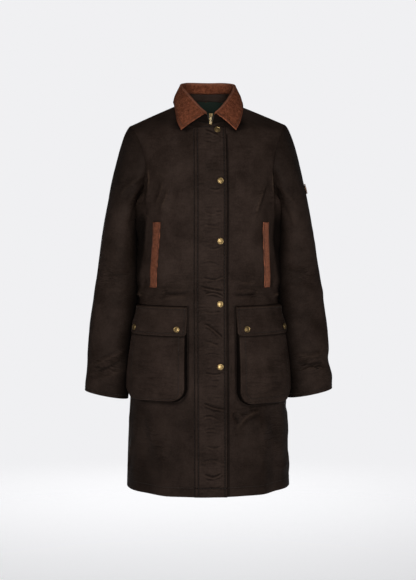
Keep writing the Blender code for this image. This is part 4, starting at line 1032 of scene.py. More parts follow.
def body_crumple(v, rise):
    """Fine creases are strongest at the waist, on the skirt, and beside the main creases."""
    waist, skirt = bell(v, WAIST, WAIST_SPREAD), ease((SKIRT - v) / 0.060)
    return np.clip(0.10 + 0.34 * waist + 0.10 * skirt + 0.45 * ease(np.abs(rise) / 0.0030), 0.0, 1.0)


def side_swell(to_seam, v, rise, top, foot):
    return rise * bell(to_seam, SWELL_OFF, SWELL_WIDTH) * ease((top - v) / 0.03) * ease((v - foot) / 0.05)


def body_cloth(base, rise, swell, fade):
    """A front or a back half with its creases, its swell beside the arm and its wear."""
    to_seam = base.u[:, -1:] - base.u
    fade = ease(to_seam / CREASE_FADE) * fade
    cloth = base.lifted((rise + side_swell(to_seam, base.v, *swell)) * fade)
    cloth.crumple = body_crumple(base.v, rise)
    cloth.worn = 0.25 + 0.75 * ease((WORN_REACH - to_seam) / 0.03)
    cloth.turned[:, -1] = 0.0
    return cloth


def creased_front(side, folds, creases, shift):
    base = half_panel(FRONT_SECTIONS, FRONT_NECK, side, FRONT, folds)
    u, v = base.u, base.v
    fade = ease((u - FLAP_CLEAR + 0.012) / 0.020) * calm(u, v, (POCKET_ZONE, WELT_ZONE))
    fade = fade * ease((FRONT_SECTIONS[-1].edge_z - SHOULDER_CLEAR - v) / 0.03)
    cloth = body_cloth(base, crease_rise(creases, u, v) + unevenness(u, v, shift), FRONT_SWELL, fade)
    # Painted shade beside the arm, where the sleeve hangs close, and on the skirt
    heights, starts = zip(*ARM_SHADE[::-1])
    under_arm = ease((ARM_TOP - v) / 0.06) * ease((v - ARM_FOOT) / 0.03)
    arm_shade = ARM_DARK * ease((u - np.interp(v, heights, starts)) / 0.016) * under_arm
    cloth.shade = np.maximum(arm_shade, SKIRT_SHADE * ease((-0.660 - v) / 0.080))
    cloth.draw = WAX_STITCH_SHADE
    return base, cloth


def add_shade(cloth, line, width, depth=SHADE_DEPTH):
    """Paint shade on the cloth along a line where another piece stands close over it."""
    off = near_path(np.array(line) - np.array([FRONT_EDGE, 0.0]), cloth.u, cloth.v)[0]
    cloth.shade = np.maximum(cloth.shade, depth * bell(off, 0.0, width))


front_right_base, front_right = creased_front(RIGHT, FRONT_RIGHT_FOLDS, FRONT_RIGHT_CREASES, 1)
front_left_base, front_left = creased_front(LEFT, FRONT_LEFT_FOLDS, FRONT_LEFT_CREASES, 2)
hem_lines = [((0.0, HEM_LINE), (0.40, HEM_LINE))]
add_shade(front_left, [(FLAP_SHADE, -0.93), (FLAP_SHADE, -0.075)], 0.0024)
for cloth, up in ((front_left, 0.0), (front_right, POCKET_FOOT_RISE)):
    add_shade(cloth, POCKET_SIDE_SHADE, 0.0024)
    add_shade(cloth, [(d, z + up) for d, z in POCKET_FOOT_SHADE], 0.0036, 0.8)
    for line, width in COLLAR_SHADES:
        add_shade(cloth, line, width)
for word, cloth in (("right", front_right), ("left", front_left)):
    piece = sew(word + "_front", [cloth], BODY_CLOTH, [waxed, lining], hem_lines)
    dress(piece, "front_" + word)

# %% Cut and sew the back
CENTRE_PASSES, CENTRE_COLUMNS = 60, 25      # how often and how far the back's centre is smoothed
BACK_CLEAR = 0.02           # creases end this far under the neck


def creased_back(side):
    base = half_panel(BACK_SECTIONS, BACK_NECK, side, BACK, BACK_FOLDS)
    closed = slice(0, row_of(BACK_SECTIONS, BACK_NECK, ROW_FINE) + 1)
    points = base.points.copy()
    for again in range(CENTRE_PASSES):
        row = np.concatenate([points[closed, 1:2] * (-1, 1, 1), points[closed, :CENTRE_COLUMNS + 1]], axis=1)
        points[closed, :CENTRE_COLUMNS] = (row[:, :-2] + 2 * row[:, 1:-1] + row[:, 2:]) / 4
    base = Cloth(points, base.sign, base.u, base.v)
    across = base.u * side
    rise = crease_rise(BACK_CREASES, across, base.v) + unevenness(across, base.v, 3)
    cloth = body_cloth(base, rise, BACK_SWELL, ease((0.0 - base.v - BACK_CLEAR) / 0.03))
    cloth.points[closed, 0, 0] = 0.0
    for half in (base, cloth):
        half.normals[closed, 0, 0] = 0.0
        half.normals = unit(half.normals)
    return base, cloth


back_right_base, back_right = creased_back(RIGHT)
back_left_base, back_left = creased_back(LEFT)
backs = [back_right, back_left]
back_piece = sew("back_panel", backs, BODY_CLOTH, [waxed, lining], hem_lines)
dress(back_piece, "back")

# %% The lining behind the neck
LINING_CLOTH = 0.0010
LINING_ROWS = 9             # rows of the solid's grid that carry the lining


def lining_half(base):
    first = base.points.shape[0] - 1 - LINING_ROWS * ROW_FINE
    columns = base.points.shape[1] - COLUMN_FINE + 1
    shown = (slice(first, None, 2), slice(0, columns, 2))
    under = base.points[shown] - base.normals[shown] * (BODY_CLOTH + SEAM_GAP)
    cloth = Cloth(under, base.sign, base.u[shown], base.v[shown])
    cloth.normals = base.normals[shown]
    return cloth


linings = [lining_half(back_right_base), lining_half(back_left_base)]
lining_piece = sew("neck_lining", linings, LINING_CLOTH, [lining])
dress(lining_piece, "back_lining")

# %% [markdown]
# ## Sleeves
# A sleeve starts on the armhole, so its first row is taken from the edges of the front and the back. It
# leaves the armhole with a pull of its own at each place and runs into the rings of the arm. Elbow and wrist
# carry the deepest creases.

# %% Cut and sew the sleeves
SLEEVE_ROW_FINE = 11
SLEEVE_COLUMN_STEP = 2
SEAM_COLUMNS = 3            # columns of the body that the sleeve's seam allowance lies under
CUFF_LINE = 0.009           # stitches above the cuff's edge
CUFF_CLEAR = 0.004          # creases end this far above it
# Painted shade over the whole sleeve, and more on its upper part
SLEEVE_WORN, SLEEVE_DARK, SLEEVE_TOP_DARK = 0.15, 0.13, 0.26
ELBOW, WRIST = (-0.42, 0.06), (-0.63, 0.04)     # height and spread of the fine creases


def sleeve_grid(front, back, side, folds, creases, shift):
    under_front = row_of(FRONT_SECTIONS, UNDERARM, ROW_FINE)
    under_back = row_of(BACK_SECTIONS, UNDERARM, ROW_FINE)
    up = front.points[under_front:, -1]
    down = back.points[under_back:, -1][::-1]
    loop = np.concatenate([up[:-1], [(up[-1] + down[0]) / 2], down[1:]])
    run_up, run_down = run_along(loop[:len(up)]), run_along(loop[len(up) - 1:])
    share = np.concatenate([0.5 * run_up / run_up[-1], 0.5 + 0.5 * run_down[1:] / run_down[-1]])
    picked = np.unique(np.append(np.arange(0, len(loop), SLEEVE_COLUMN_STEP), len(loop) - 1))
    loop, share = loop[picked], share[picked]
    deep = BODY_CLOTH + SEAM_GAP
    deep_up, deep_down = [half.points[under:, -SEAM_COLUMNS] - half.normals[under:, -1] * deep
                          for half, under in ((front, under_front), (back, under_back))]
    tucked = np.concatenate([deep_up[:-1], [(deep_up[-1] + deep_down[-1]) / 2], deep_down[::-1][1:]])[picked]
    turn = math.pi + 2 * math.pi * (SLEEVE_SEAM + share * (1 - 2 * SLEEVE_SEAM))
    rings = []
    for ring in SLEEVE_RINGS:
        tilt = math.radians(ring.tilt)
        outward = np.array([side * math.cos(tilt), 0.0, math.sin(tilt)])
        more = ring.left_out / 2 if side == LEFT else 0.0
        centre = np.array([side * (ring.x + more), ring.y, ring.z])
        rings.append(centre + (ring.half_width + more) * np.cos(turn)[:, None] * outward
                     + ring.half_depth * np.sin(turn)[:, None] * np.array([0.0, 1.0, 0.0]))
    rings = np.array(rings)
    pulls = smooth([(p.x * side, p.y, p.z) for p in CAP_PULLS], share, [p.share for p in CAP_PULLS])
    start = loop + unit(pulls) * ARMHOLE_GAP
    f = np.linspace(0.0, 1.0, CAP_ROWS * SLEEVE_ROW_FINE + 1)
    cap = np.array([cubic(start, pulls, rings[0], rings[1] - rings[0], np.full(len(start), x)) for x in f])
    lines = grid_lines(SLEEVE_RINGS, SLEEVE_ROW_FINE)
    tube = smooth(rings.reshape(len(rings), -1), lines).reshape(len(lines), -1, 3)
    cloth = Cloth(np.concatenate([tucked[None], cap, tube[1:]]), -side)
    low = SLEEVE_RINGS[-1].z
    distance, high = cloth.u, cloth.v
    to_seam = np.minimum(distance, distance[:, -1:] - distance)
    fade = ease(to_seam / FOLD_FADE) * ease((high - low + FOLD_FADE / 2) / FOLD_FADE)
    cloth = cloth.lifted(fold_rise(folds, distance, high) * fade)
    down_run = run_along(cloth.points, axis=0)
    above = down_run[-1:] - down_run
    fade = ease(to_seam / CREASE_FADE) * ease(down_run / CREASE_FADE)
    fade = fade * ease((above - CUFF_CLEAR) / CREASE_FADE)
    rise = crease_rise(creases, distance, high) + unevenness(distance, high, shift)
    cloth = cloth.lifted(rise * fade)
    cloth.v = above
    cloth.worn, cloth.draw = SLEEVE_WORN, WAX_STITCH_SHADE
    cloth.turned[:, 0] = cloth.turned[:, -1] = 0.0
    # Painted shade on the sleeve's inner side, which hangs close to the body, and over the whole sleeve
    inner = ARM_DARK * (1 - ease((distance - 0.026) / 0.056)) * ease((ARM_TOP - high) / 0.06)
    cloth.shade = np.maximum(inner, SLEEVE_DARK + SLEEVE_TOP_DARK * ease((high + 0.32) / 0.12))
    elbow, wrist = bell(high, *ELBOW), bell(high, *WRIST)
    cloth.crumple = np.clip(0.18 + 0.30 * elbow + 0.55 * wrist + 0.35 * ease(np.abs(rise) / 0.0028), 0.0, 1.0)
    return cloth


sleeve_right = sleeve_grid(
    front_right_base, back_right_base, RIGHT, SLEEVE_RIGHT_FOLDS, SLEEVE_RIGHT_CREASES, 4)
sleeve_left = sleeve_grid(front_left_base, back_left_base, LEFT, SLEEVE_LEFT_FOLDS, SLEEVE_LEFT_CREASES, 5)
cuff_lines = [((0.0, CUFF_LINE), (0.5, CUFF_LINE))]
for word, cloth in (("right", sleeve_right), ("left", sleeve_left)):
    piece = sew(word + "_sleeve", [cloth], BODY_CLOTH, [waxed, lining], cuff_lines)
    dress(piece, "sleeve_" + word)

# %% [markdown]
# ## Collar
# The stand is a strip of waxed cotton round the neck. The collar is brown needlecord: it rises inside the
# stand, rolls over it and falls to its edge, so its section is a hairpin, swept round the neck seam.

# %% Cut and sew the stand and the collar
STAND_ROWS, INSIDE_ROWS, ROLL_STEPS, FALL_STEPS = 10, 7, 12, 26
COLLAR_CLOTH = 0.0024
NAPE_PASSES, NAPE_COLUMNS = 40, 12      # how often and how far the centre back is smoothed


def neck_seam(front, back):
    fore = front.points[row_of(FRONT_SECTIONS, FRONT_NECK, ROW_FINE):, 0]
    aft = back.points[row_of(BACK_SECTIONS, BACK_NECK, ROW_FINE):, 0][::-1]
    return np.concatenate([fore[:-1], [(fore[-1] + aft[0]) / 2], aft[1:]])


def collar_half(seam, side):
    """The stand's rows and the collar's rows of one half, centre front to centre back."""
    run = run_along(seam)
    share = run / run[-1]
    table = smooth([t[1:] for t in COLLAR_TURNS], share, [t.share for t in COLLAR_TURNS])
    mirror = np.array([side, 1.0, 1.0])
    roll, edge, inside = table[:, 0:3] * mirror, table[:, 3:6] * mirror, table[:, 6:7]
    edge[:, 0] += COLLAR_LEAN * (1.0 - ease(share / LEAN_SHARE))
    up = np.array([0.0, 0.0, 1.0])
    out = unit(np.cross(np.gradient(roll, axis=0), up) * np.array([1.0, 1.0, 0.0])) * side
    rise = roll - seam
    top = roll - rise * inside / np.linalg.norm(rise, axis=1, keepdims=True)
    foot = seam + up * STAND_GAP
    stand = np.stack([foot + (top - foot) * f for f in np.linspace(0, 1, STAND_ROWS)])
    start = top + up * SEAM_GAP - out * STAND_CLOTH
    rolled = roll - out * STAND_CLOTH
    rows = [start + (rolled - start) * f for f in np.linspace(0, 1, INSIDE_ROWS)]
    centre = roll + out * (ROLL_RADIUS - STAND_CLOTH)
    for angle in np.linspace(0, math.pi, ROLL_STEPS + 1)[1:]:
        rows.append(centre - out * math.cos(angle) * ROLL_RADIUS + up * math.sin(angle) * ROLL_RADIUS)
    over = rows[-1]
    for f in np.linspace(0, 1, FALL_STEPS + 1)[1:]:
        rows.append(over * (1 - f) + edge * f + out * FALL_BULGE * math.sin(math.pi * f))
    return stand, np.stack(rows)


def joined(right, left):
    return np.concatenate([right, left[:, ::-1][:, 1:]], axis=1)


def rounded(points):
    """Smooth a grid over its centre back."""
    low, high = points.shape[1] // 2 - NAPE_COLUMNS, points.shape[1] // 2 + NAPE_COLUMNS + 1
    for again in range(NAPE_PASSES):
        before, after = points[:, low - 1:high - 1], points[:, low + 1:high + 1]
        points[:, low:high] = (before + 2 * points[:, low:high] + after) / 4
    return points


right_half = collar_half(neck_seam(front_right_base, back_right_base), RIGHT)
left_half = collar_half(neck_seam(front_left_base, back_left_base), LEFT)
stand = Cloth(rounded(joined(right_half[0], left_half[0])), -1.0)
collar = Cloth(rounded(joined(right_half[1], left_half[1])), 1.0)
for cloth in (stand, collar):
    cloth.u = np.broadcast_to(run_along(cloth.points[0]), cloth.u.shape).copy()
    down = run_along(cloth.points, axis=0).mean(axis=1, keepdims=True)
    cloth.v = np.broadcast_to(down, cloth.v.shape).copy()
print("slope of the stand at the front:", stand.normals[4, 0].round(2))
print("slope of the collar's fall:", collar.normals[-4, 60].round(2))

# %% Dress the stand and the collar
COLLAR_EDGE_LINE = 0.006    # stitches inside the collar's edge
LEAF_TOP = 0.030            # where they start, down from the roll
COLLAR_BUMP = (0.0004, 0.020)       # height and size
STAND_DARK, STAND_END = 0.85, 0.05  # painted shade on the stand's ends, which lie in the collar's shade
near, far = COLLAR_EDGE_LINE, float(collar.u[0, -1]) - COLLAR_EDGE_LINE
foot = float(collar.v[-1, 0]) - COLLAR_EDGE_LINE
collar_lines = [((near, LEAF_TOP), (near, foot), (far, foot), (far, LEAF_TOP))]
collar = collar.lifted(COLLAR_BUMP[0] * ripple(collar.u, collar.v, COLLAR_BUMP[1], 6))
ends = np.minimum(stand.u, stand.u[:, -1:] - stand.u)
stand.shade = STAND_DARK * (1 - ease((ends - STAND_END) / 0.03))
stand_piece = sew("neck_stand", [stand], STAND_CLOTH, [waxed])
dress(stand_piece, "collar_stand")
collar_piece = sew("cord_collar", [collar], COLLAR_CLOTH, [cord], collar_lines)
dress(collar_piece, "collar")

# %% [markdown]
# ## Storm flap and zip
# The storm flap is sewn to the wearer's right front with two rows of stitches and snapped down on the left,
# so its left edge stands free. A long strip that is stitched on one side puckers: it carries short level
# wrinkles all the way down, deepest at the waist and below the pockets. The zip runs behind it.

# %% Cut and sew the storm flap
FLAP_CLOTH = 0.0020
FLAP_GAP = 0.0008
FLAP_DROP = 0.07
FLAP_COLUMNS = 50
FLAP_ROW_STEP = 0.0018
FLAP_SEWN_EDGE = 0.0420
SEWN_LINES, FREE_LINE = (-0.0410, -0.0326), 0.0292      # rows of stitches
FLAP_END_LINE = 0.006       # stitches under the top end
FLAP_SHARPER, STRONG_RISE, USUAL_RISE, FLAP_DEEPEST = 0.6, 1.2, 0.55, -0.0006
FREE_LIFT, FREE_FROM = 0.0034, 0.020
# Width of the painted shadow line along the flap's free edge
FREE_DARK_WIDTH = 0.0016
SNAP_CLEAR = 0.004          # no creases this close to a snap
# Height, stretch across and down, size, and place in the ripple table
PUCKERS = ((0.0003, 1.0, 2.2, 0.016, 8), (0.00024, 0.5, 2.0, 0.009, 12))
FLAP_STRONG = ("under the first snap", "waist", "waist low", "slant", "thigh", "hem high")
FRONT_SNAPS = [(0.0145, -0.0655), (0.0195, -0.1855), (0.0195, -0.3255), (0.0195, -0.4735), (0.0195, -0.6200)]
# Places on the flap are + to the wearer's left of the centre front
FLAP_CREASES = creases(
    ("under the first snap", (-18, -66), (0, -73), (22, -82), 5, 1.6),
    ("first hollow", (-22, -90), (4, -94), (28, -90), 6, -1),
    ("second snap", (-12, -203), (8, -208), (30, -202), 4.5, 1.5),
    ("chest high", (-26, -142), (0, -146), (22, -140), 7, -0.9),
    ("chest", (-24, -258), (2, -264), (30, -256), 4.5, 1.4),
    ("chest low", (-28, -288), (-2, -292), (28, -296), 5, 1.3),
    ("third snap", (-14, -342), (6, -346), (30, -338), 4.5, 1.4),
    ("rib", (-26, -378), (-4, -374), (24, -382), 5, -1),
    ("waist high", (-26, -412), (4, -418), (31, -410), 4.2, 1.8),
    ("waist", (-28, -434), (0, -441), (30, -446), 4.4, 2.4),
    ("waist low", (-18, -452), (6, -449), (31, -460), 4, 1.7),
    ("fourth snap", (-26, -490), (0, -496), (28, -492), 4.5, 1.4),
    ("slant", (-20, -520), (0, -532), (26, -556), 4.8, 2.4),
    ("slant low", (-28, -560), (0, -566), (24, -580), 5, 1.4),
    ("hip", (-26, -592), (2, -588), (28, -594), 4.8, -1),
    ("fifth snap", (-24, -634), (6, -640), (31, -634), 4.5, 1.8),
    ("thigh high", (-27, -668), (0, -664), (26, -672), 5.5, -1),
    ("thigh", (-24, -706), (2, -716), (31, -722), 4.8, 2.6),
    ("thigh low", (-28, -742), (-4, -738), (22, -750), 4.8, 2),
    ("skirt high", (-26, -772), (0, -768), (20, -776), 5, 1.4),
    ("skirt", (-22, -806), (6, -812), (30, -804), 5.2, 1.8),
    ("skirt low", (-28, -846), (0, -840), (28, -850), 5.2, 1.8),
    ("hem high", (-24, -872), (2, -880), (26, -870), 4.8, 2),
    ("hem", (-16, -900), (6, -908), (28, -898), 4.8, 1.8),
)


def flap_grid():
    rows = slice(0, row_of(FRONT_SECTIONS, FRONT_NECK, ROW_FINE) + 1)
    across = np.linspace(-FLAP_SEWN_EDGE, FLAP_HALF_WIDTH, FLAP_COLUMNS + 1)
    columns = []
    for place in across:
        half = front_right_base if place < 0 else front_left_base
        column = at_reach(half.points[rows], half.u[rows], max(abs(place) - FRONT_EDGE, 0.0))
        if abs(place) < FRONT_EDGE:
            column[:, 0] = place
        columns.append(column)
    points = np.stack(columns, axis=1)
    points[-1] += (points[-1 - ROW_FINE] - points[-1]) * FLAP_DROP
    points[-2] = (points[-1] + points[-3]) / 2
    run = run_along(points[:, len(across) // 2])
    at = np.linspace(0, run[-1], int(run[-1] / FLAP_ROW_STEP))
    points = np.stack([along_line(points[:, k], run, at) for k in range(len(across))], axis=1)
    lift = Cloth(points, 1.0).normals * (FLAP_GAP + FLAP_CLOTH)
    return Cloth(points + lift, 1.0, np.broadcast_to(across, points.shape[:2]).copy())


def around(d, z, reach):
    """A calm zone round a snap."""
    return d - reach, d + reach, z - reach, z + reach


flap_base = flap_grid()
flap_u, flap_v = flap_base.u, flap_base.v
clear = calm(flap_u, flap_v, [around(d, z, SNAP_CLEAR) for d, z in FRONT_SNAPS])
sharp_creases = []
for c in FLAP_CREASES:
    more = STRONG_RISE if c.name in FLAP_STRONG else USUAL_RISE
    sharp_creases.append(Crease(c.name, c.path, c.width * FLAP_SHARPER, c.rise * more))
flap_rise = crease_rise(sharp_creases, flap_u, flap_v) * clear
pucker = sum(h * ripple(flap_u * a, flap_v * b, size, shift) for h, a, b, size, shift in PUCKERS) * clear
sewn = ease((flap_u + FLAP_SEWN_EDGE) / 0.010)
free = FREE_LIFT * ease((flap_u - FREE_FROM) / 0.015) * (0.6 + 0.4 * ripple(flap_u * 0, flap_v, 0.060, 9))
flap_rise = np.maximum(flap_rise, FLAP_DEEPEST) * (0.25 + 0.75 * sewn)
storm_flap = flap_base.lifted(flap_rise + pucker * sewn + free)
storm_flap.crumple, storm_flap.worn = 0.12 + 0.20 * sewn, 0.15
# Painted shadow along the flap's free edge
storm_flap.shade = bell(flap_u, FLAP_HALF_WIDTH, FREE_DARK_WIDTH)
flap_low, flap_high = float(flap_v.min()), float(flap_v.max()) - FLAP_END_LINE
flap_lines = [((x, flap_low), (x, flap_high)) for x in (*SEWN_LINES, FREE_LINE)]
flap_lines += [((-FLAP_SEWN_EDGE, HEM_LINE), (0.035, HEM_LINE)), ((-0.03, flap_high), (0.03, flap_high))]
flap_piece = sew("long_flap", [storm_flap], FLAP_CLOTH, [waxed], flap_lines)
dress(flap_piece, "storm_flap")

# %% Zip tape and teeth
TAPE_CLOTH = 0.0010
TAPE_REACH = 0.008
TOOTH_PITCH, TOOTH_STAGGER, TOOTH_FORWARD = 0.0026, 0.0009, 0.0012
TOOTH = (0.0021, 0.0011, 0.0011)     # half sizes: across, deep, high
TOOTH_CORNERS = np.array([(-1, -0.6, -0.7), (1, -0.6, -0.7), (1, -0.6, 0.7), (-1, -0.6, 0.7),
                          (-1, 1, -1), (1, 1, -1), (1, 1, 1), (-1, 1, 1)]) * TOOTH
TOOTH_FACES = ((0, 1, 2, 3), (7, 6, 5, 4), (0, 4, 5, 1), (1, 5, 6, 2), (2, 6, 7, 3), (3, 7, 4, 0))


def tape_grid():
    """The tape runs behind both fronts and up behind the ends of the stand."""
    rows = slice(0, row_of(FRONT_SECTIONS, FRONT_NECK, ROW_FINE), 2)
    behind = STAND_CLOTH + SEAM_GAP * 2
    columns = []
    for half, way in ((front_right_base, 1), (front_left_base, -1)):
        neck, facing = stand.points[:, ::way], stand.normals[:, ::way]
        run = run_along(neck, axis=1)
        for reach in (TAPE_REACH, TAPE_REACH / 2, 0.0)[::way]:
            low, slope = (at_reach(lines[rows], half.u[rows], reach) for lines in (half.points, half.normals))
            high, lean = (at_reach(lines, run, reach) for lines in (neck, facing))
            columns.append(np.concatenate([low - unit(slope) * behind, high - unit(lean) * behind]))
    return Cloth(np.stack(columns, axis=1), 1.0)


def ring_faces(start, rings, sides):
    """Faces between rings of points that follow each other."""
    corners = [(start + ring * sides, k, (k + 1) % sides) for ring in range(rings - 1) for k in range(sides)]
    return [(a + k, a + n, a + sides + n, a + sides + k) for a, k, n in corners]


def plain_piece(name, vertices, faces, finish, smooth_faces=False, body="jacket"):
    mesh = bpy.data.meshes.new(name)
    mesh.from_pydata([tuple(v) for v in vertices], [], faces)
    mesh.materials.append(finish)
    mesh.polygons.foreach_set("use_smooth", np.full(len(faces), smooth_faces))
    mesh.uv_layers.new(name="cut")
    made = put(name, mesh)
    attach(made, body)
    return made


zip_tape = tape_grid()
tape_piece = sew("closing_tape", [zip_tape], TAPE_CLOTH, [tape])
dress(tape_piece, "zip")
middle = (zip_tape.points[:, 2] + zip_tape.points[:, 3]) / 2
run = run_along(middle)
count = int(run[-1] / TOOTH_PITCH)
vertices, faces = [], []
for k in range(count):
    spot = along_line(middle, run, (k + 0.5) * TOOTH_PITCH)
    spot += np.array([TOOTH_STAGGER if k % 2 else -TOOTH_STAGGER, -TOOTH_FORWARD, 0.0])
    faces += [tuple(len(vertices) + corner for corner in face) for face in TOOTH_FACES]
    vertices += list(spot + TOOTH_CORNERS)
plain_piece("zip_teeth", vertices, faces, brass)
print("zip teeth:", count)

# %% [markdown]
# ## Pockets
# A bellows pocket is a face held off the front by a gusset, open under its flap. Its grid is laid out on the
# front, so each point is a place on the front moved outwards by the pocket's depth there. The rows and
# columns crowd together at the edges, where the gusset turns.

# %% Pocket and flap sizes
POCKET_INNER, POCKET_OUTER = 0.058, 0.214
POCKET_MOUTH, POCKET_BOTTOM, POCKET_CORNER = -0.492, -0.712, 0.036
POCKET_MOUTH_DEPTH, POCKET_DEPTH, POCKET_CROWN = 0.011, 0.020, 0.003
GUSSET, POCKET_GAP, POCKET_CLOTH = 0.009, 0.0012, 0.0015
FLAP_TOP, FLAP_BOTTOM, FLAP_INNER, FLAP_OUTER = -0.478, -0.549, 0.0565, 0.2135
FLAP_CORNER, FLAP_RISE = 0.010, 0.0065
MOUTH_DRAW = 0.007          # the flap's stitches draw the mouth in
POCKET_SNAPS = {"inner": 0.078, "outer": 0.196}
POCKET_SNAP_HEIGHT = -0.5335
POCKET_WIDTH = POCKET_OUTER - POCKET_INNER
POCKET_DROP = POCKET_MOUTH - POCKET_BOTTOM


def pocket_lift(across, rise):
    """How far the pocket's face stands out, across from its inner edge and up from its bottom."""
    side = np.minimum(across, POCKET_WIDTH - across)
    corner = POCKET_CORNER - np.hypot(POCKET_CORNER - side, POCKET_CORNER - rise)
    in_corner = (side < POCKET_CORNER) & (rise < POCKET_CORNER)
    inset = np.where(in_corner, corner, side)
    inset = np.maximum(np.where(side >= POCKET_CORNER, np.minimum(inset, rise), inset), 0.0)
    share = rise / POCKET_DROP
    depth = POCKET_DEPTH + (POCKET_MOUTH_DEPTH - POCKET_DEPTH) * ease((share - 0.25) / 0.75)
    depth = depth - MOUTH_DRAW * ease((share - 0.80) / 0.20)
    crown = POCKET_CROWN * np.sin(math.pi * across / POCKET_WIDTH) * np.sin(math.pi * np.minimum(1.0, share))
    wall = np.sqrt(np.maximum(0.0, 1.0 - (1.0 - np.minimum(1.0, inset / GUSSET)) ** 2))
    return POCKET_GAP + (depth + crown) * wall


def flap_lift(distance, height):
    """Outer face of the pocket flap above the front."""
    across = np.clip(distance - POCKET_INNER, GUSSET, POCKET_WIDTH - GUSSET)
    over = pocket_lift(across, np.minimum(height, POCKET_MOUTH) - POCKET_BOTTOM) + POCKET_GAP + FLAP_CLOTH
    seam = POCKET_GAP + FLAP_CLOTH
    return seam + (over - seam) * ease((FLAP_TOP - height) / FLAP_RISE)


print("pocket depth at its middle, mm:", pocket_lift(np.array(0.078), np.array(0.05)) * 1e3)

# %% Cut and sew the pockets
POCKET_CREASES = {
    "right": creases(
        ("slant", (92, -640), (112, -600), (150, -570), 12, 1.6),
        ("slant low", (85, -690), (115, -655), (165, -640), 13, -1.8),
        ("edge ripple", (150, -585), (175, -592), (200, -584), 7, 1.2),
        ("inner ripple", (68, -568), (85, -578), (105, -574), 6, 1),
        ("foot", (100, -700), (130, -688), (175, -694), 9, 1.4),
    ),
    "left": creases(
        ("slant", (85, -600), (110, -630), (130, -680), 13, -1.6),
        ("slant high", (100, -570), (140, -590), (165, -630), 12, 1.6),
        ("inner ripple", (68, -610), (82, -622), (104, -620), 6, 1.2),
        ("outer ripple", (160, -660), (182, -650), (205, -655), 7, 1.2),
        ("foot", (90, -690), (125, -700), (160, -692), 9, 1.4),
    ),
}
EDGE_CROWD = 1.6            # how strongly the grid crowds towards an edge
POCKET_ROWS, FACE_ROWS, POCKET_COLUMNS = 161, 41, 121
WALL_FLARE = 0.0030         # the face's edge lies this far inside the gusset's foot
WALL_SHARE, ROUND_SHARE = 0.42, 0.62    # of the gusset's grid: its wall, and the turn over it
POCKET_FLARE = {RIGHT: 0.018, LEFT: 0.006}      # the outer side leans out towards the bottom
POCKET_SHORT = {RIGHT: 0.965, LEFT: 1.0}        # share of the full drop
POCKET_STITCH, CORNER_STEPS = 0.0160, 9
UNDER_FLAP, UNDER_FLAP_WIDTH = 0.0016, 0.0026   # the painted shadow line under the flap's edge


def crowded(count):
    """Shares from 0 to 1 that lie closer together at both ends."""
    f = np.linspace(-1, 1, count)
    return 0.5 + 0.5 * np.sign(f) * (1 - (1 - np.abs(f)) ** EDGE_CROWD)


def pocket_edge(across, rise):
    """Distance inside the pocket's outline, and the way in from the nearest edge."""
    side = np.minimum(across, POCKET_WIDTH - across)
    into_side, into_rise = POCKET_CORNER - side, POCKET_CORNER - rise
    in_corner = (into_side > 0) & (into_rise > 0)
    reach = np.maximum(np.hypot(into_side, into_rise), TINY)
    distance = np.where(in_corner, POCKET_CORNER - reach, np.minimum(side, rise))
    way_in = np.where(in_corner, into_side / reach, side < rise)
    way_up = np.where(in_corner, into_rise / reach, side >= rise)
    return np.maximum(distance, 0.0), way_in * np.where(across < POCKET_WIDTH / 2, 1.0, -1.0), way_up


def pocket_grid(front, creases, side, shift):
    rise = crowded(POCKET_ROWS)[POCKET_ROWS // 2:]
    rise = np.concatenate([1 - rise[::-1], np.linspace(0.5, 1.0, FACE_ROWS)[1:]]) * POCKET_DROP
    low = np.maximum(0.0, POCKET_CORNER - rise)
    inset = POCKET_CORNER - np.sqrt(np.maximum(POCKET_CORNER ** 2 - low ** 2, 0.0))
    across = inset[:, None] + crowded(POCKET_COLUMNS)[None] * (POCKET_WIDTH - 2 * inset)[:, None]
    rise = np.broadcast_to(rise[:, None], across.shape)
    inside, way_in, way_up = pocket_edge(across, rise)
    wall = np.minimum(inside / GUSSET, 1.0)
    over = WALL_FLARE + (GUSSET - WALL_FLARE) * (wall - WALL_SHARE) / (1 - WALL_SHARE)
    tuck = np.where(wall < WALL_SHARE, WALL_FLARE * wall / WALL_SHARE, over) - np.minimum(inside, GUSSET)
    share = rise / POCKET_DROP
    u = POCKET_INNER + across + tuck * way_in + POCKET_FLARE[side] * (1 - share) * across / POCKET_WIDTH
    v = POCKET_MOUTH - (POCKET_DROP - rise - tuck * way_up) * POCKET_SHORT[side]
    points, slopes = front.places(u - FRONT_EDGE, v)
    calm_edge = ease(inside / 0.020)
    extra = (crease_rise(creases, u, v) + 0.8 * unevenness(u, v, shift)) * calm_edge
    full = pocket_lift(np.clip(across, GUSSET, POCKET_WIDTH - GUSSET), np.maximum(rise, GUSSET)) - POCKET_GAP
    lift = POCKET_GAP + full * np.sin(math.pi / 2 * np.minimum(1.0, wall / ROUND_SHARE)) + extra
    cloth = Cloth(points + slopes * lift[..., None], side, u, v)
    cloth.worn, cloth.draw, cloth.crumple = 0.05, 0.35, 0.40 * ease(inside / 0.03)
    under_flap = bell(v, FLAP_BOTTOM - UNDER_FLAP, UNDER_FLAP_WIDTH)
    # Painted shade on the gusset's wall, and a painted shadow line under the flap's edge
    cloth.shade = np.maximum(0.95 * (1 - ease((wall - 0.38) / 0.14)), 0.85 * under_flap)
    return cloth


def inset_line(inset):
    """The pocket's outline, this far inside its edge: down the inner side, round and up the outer."""
    radius = POCKET_CORNER - inset
    left, right, foot = POCKET_INNER + inset, POCKET_OUTER - inset, POCKET_BOTTOM + inset
    turn = np.linspace(0, math.pi / 2, CORNER_STEPS)
    line = [(left, POCKET_MOUTH)]
    line += [(left + radius - radius * math.cos(a), foot + radius - radius * math.sin(a)) for a in turn]
    line += [(right - radius + radius * math.sin(a), foot + radius - radius * math.cos(a)) for a in turn]
    return line + [(right, POCKET_MOUTH)]


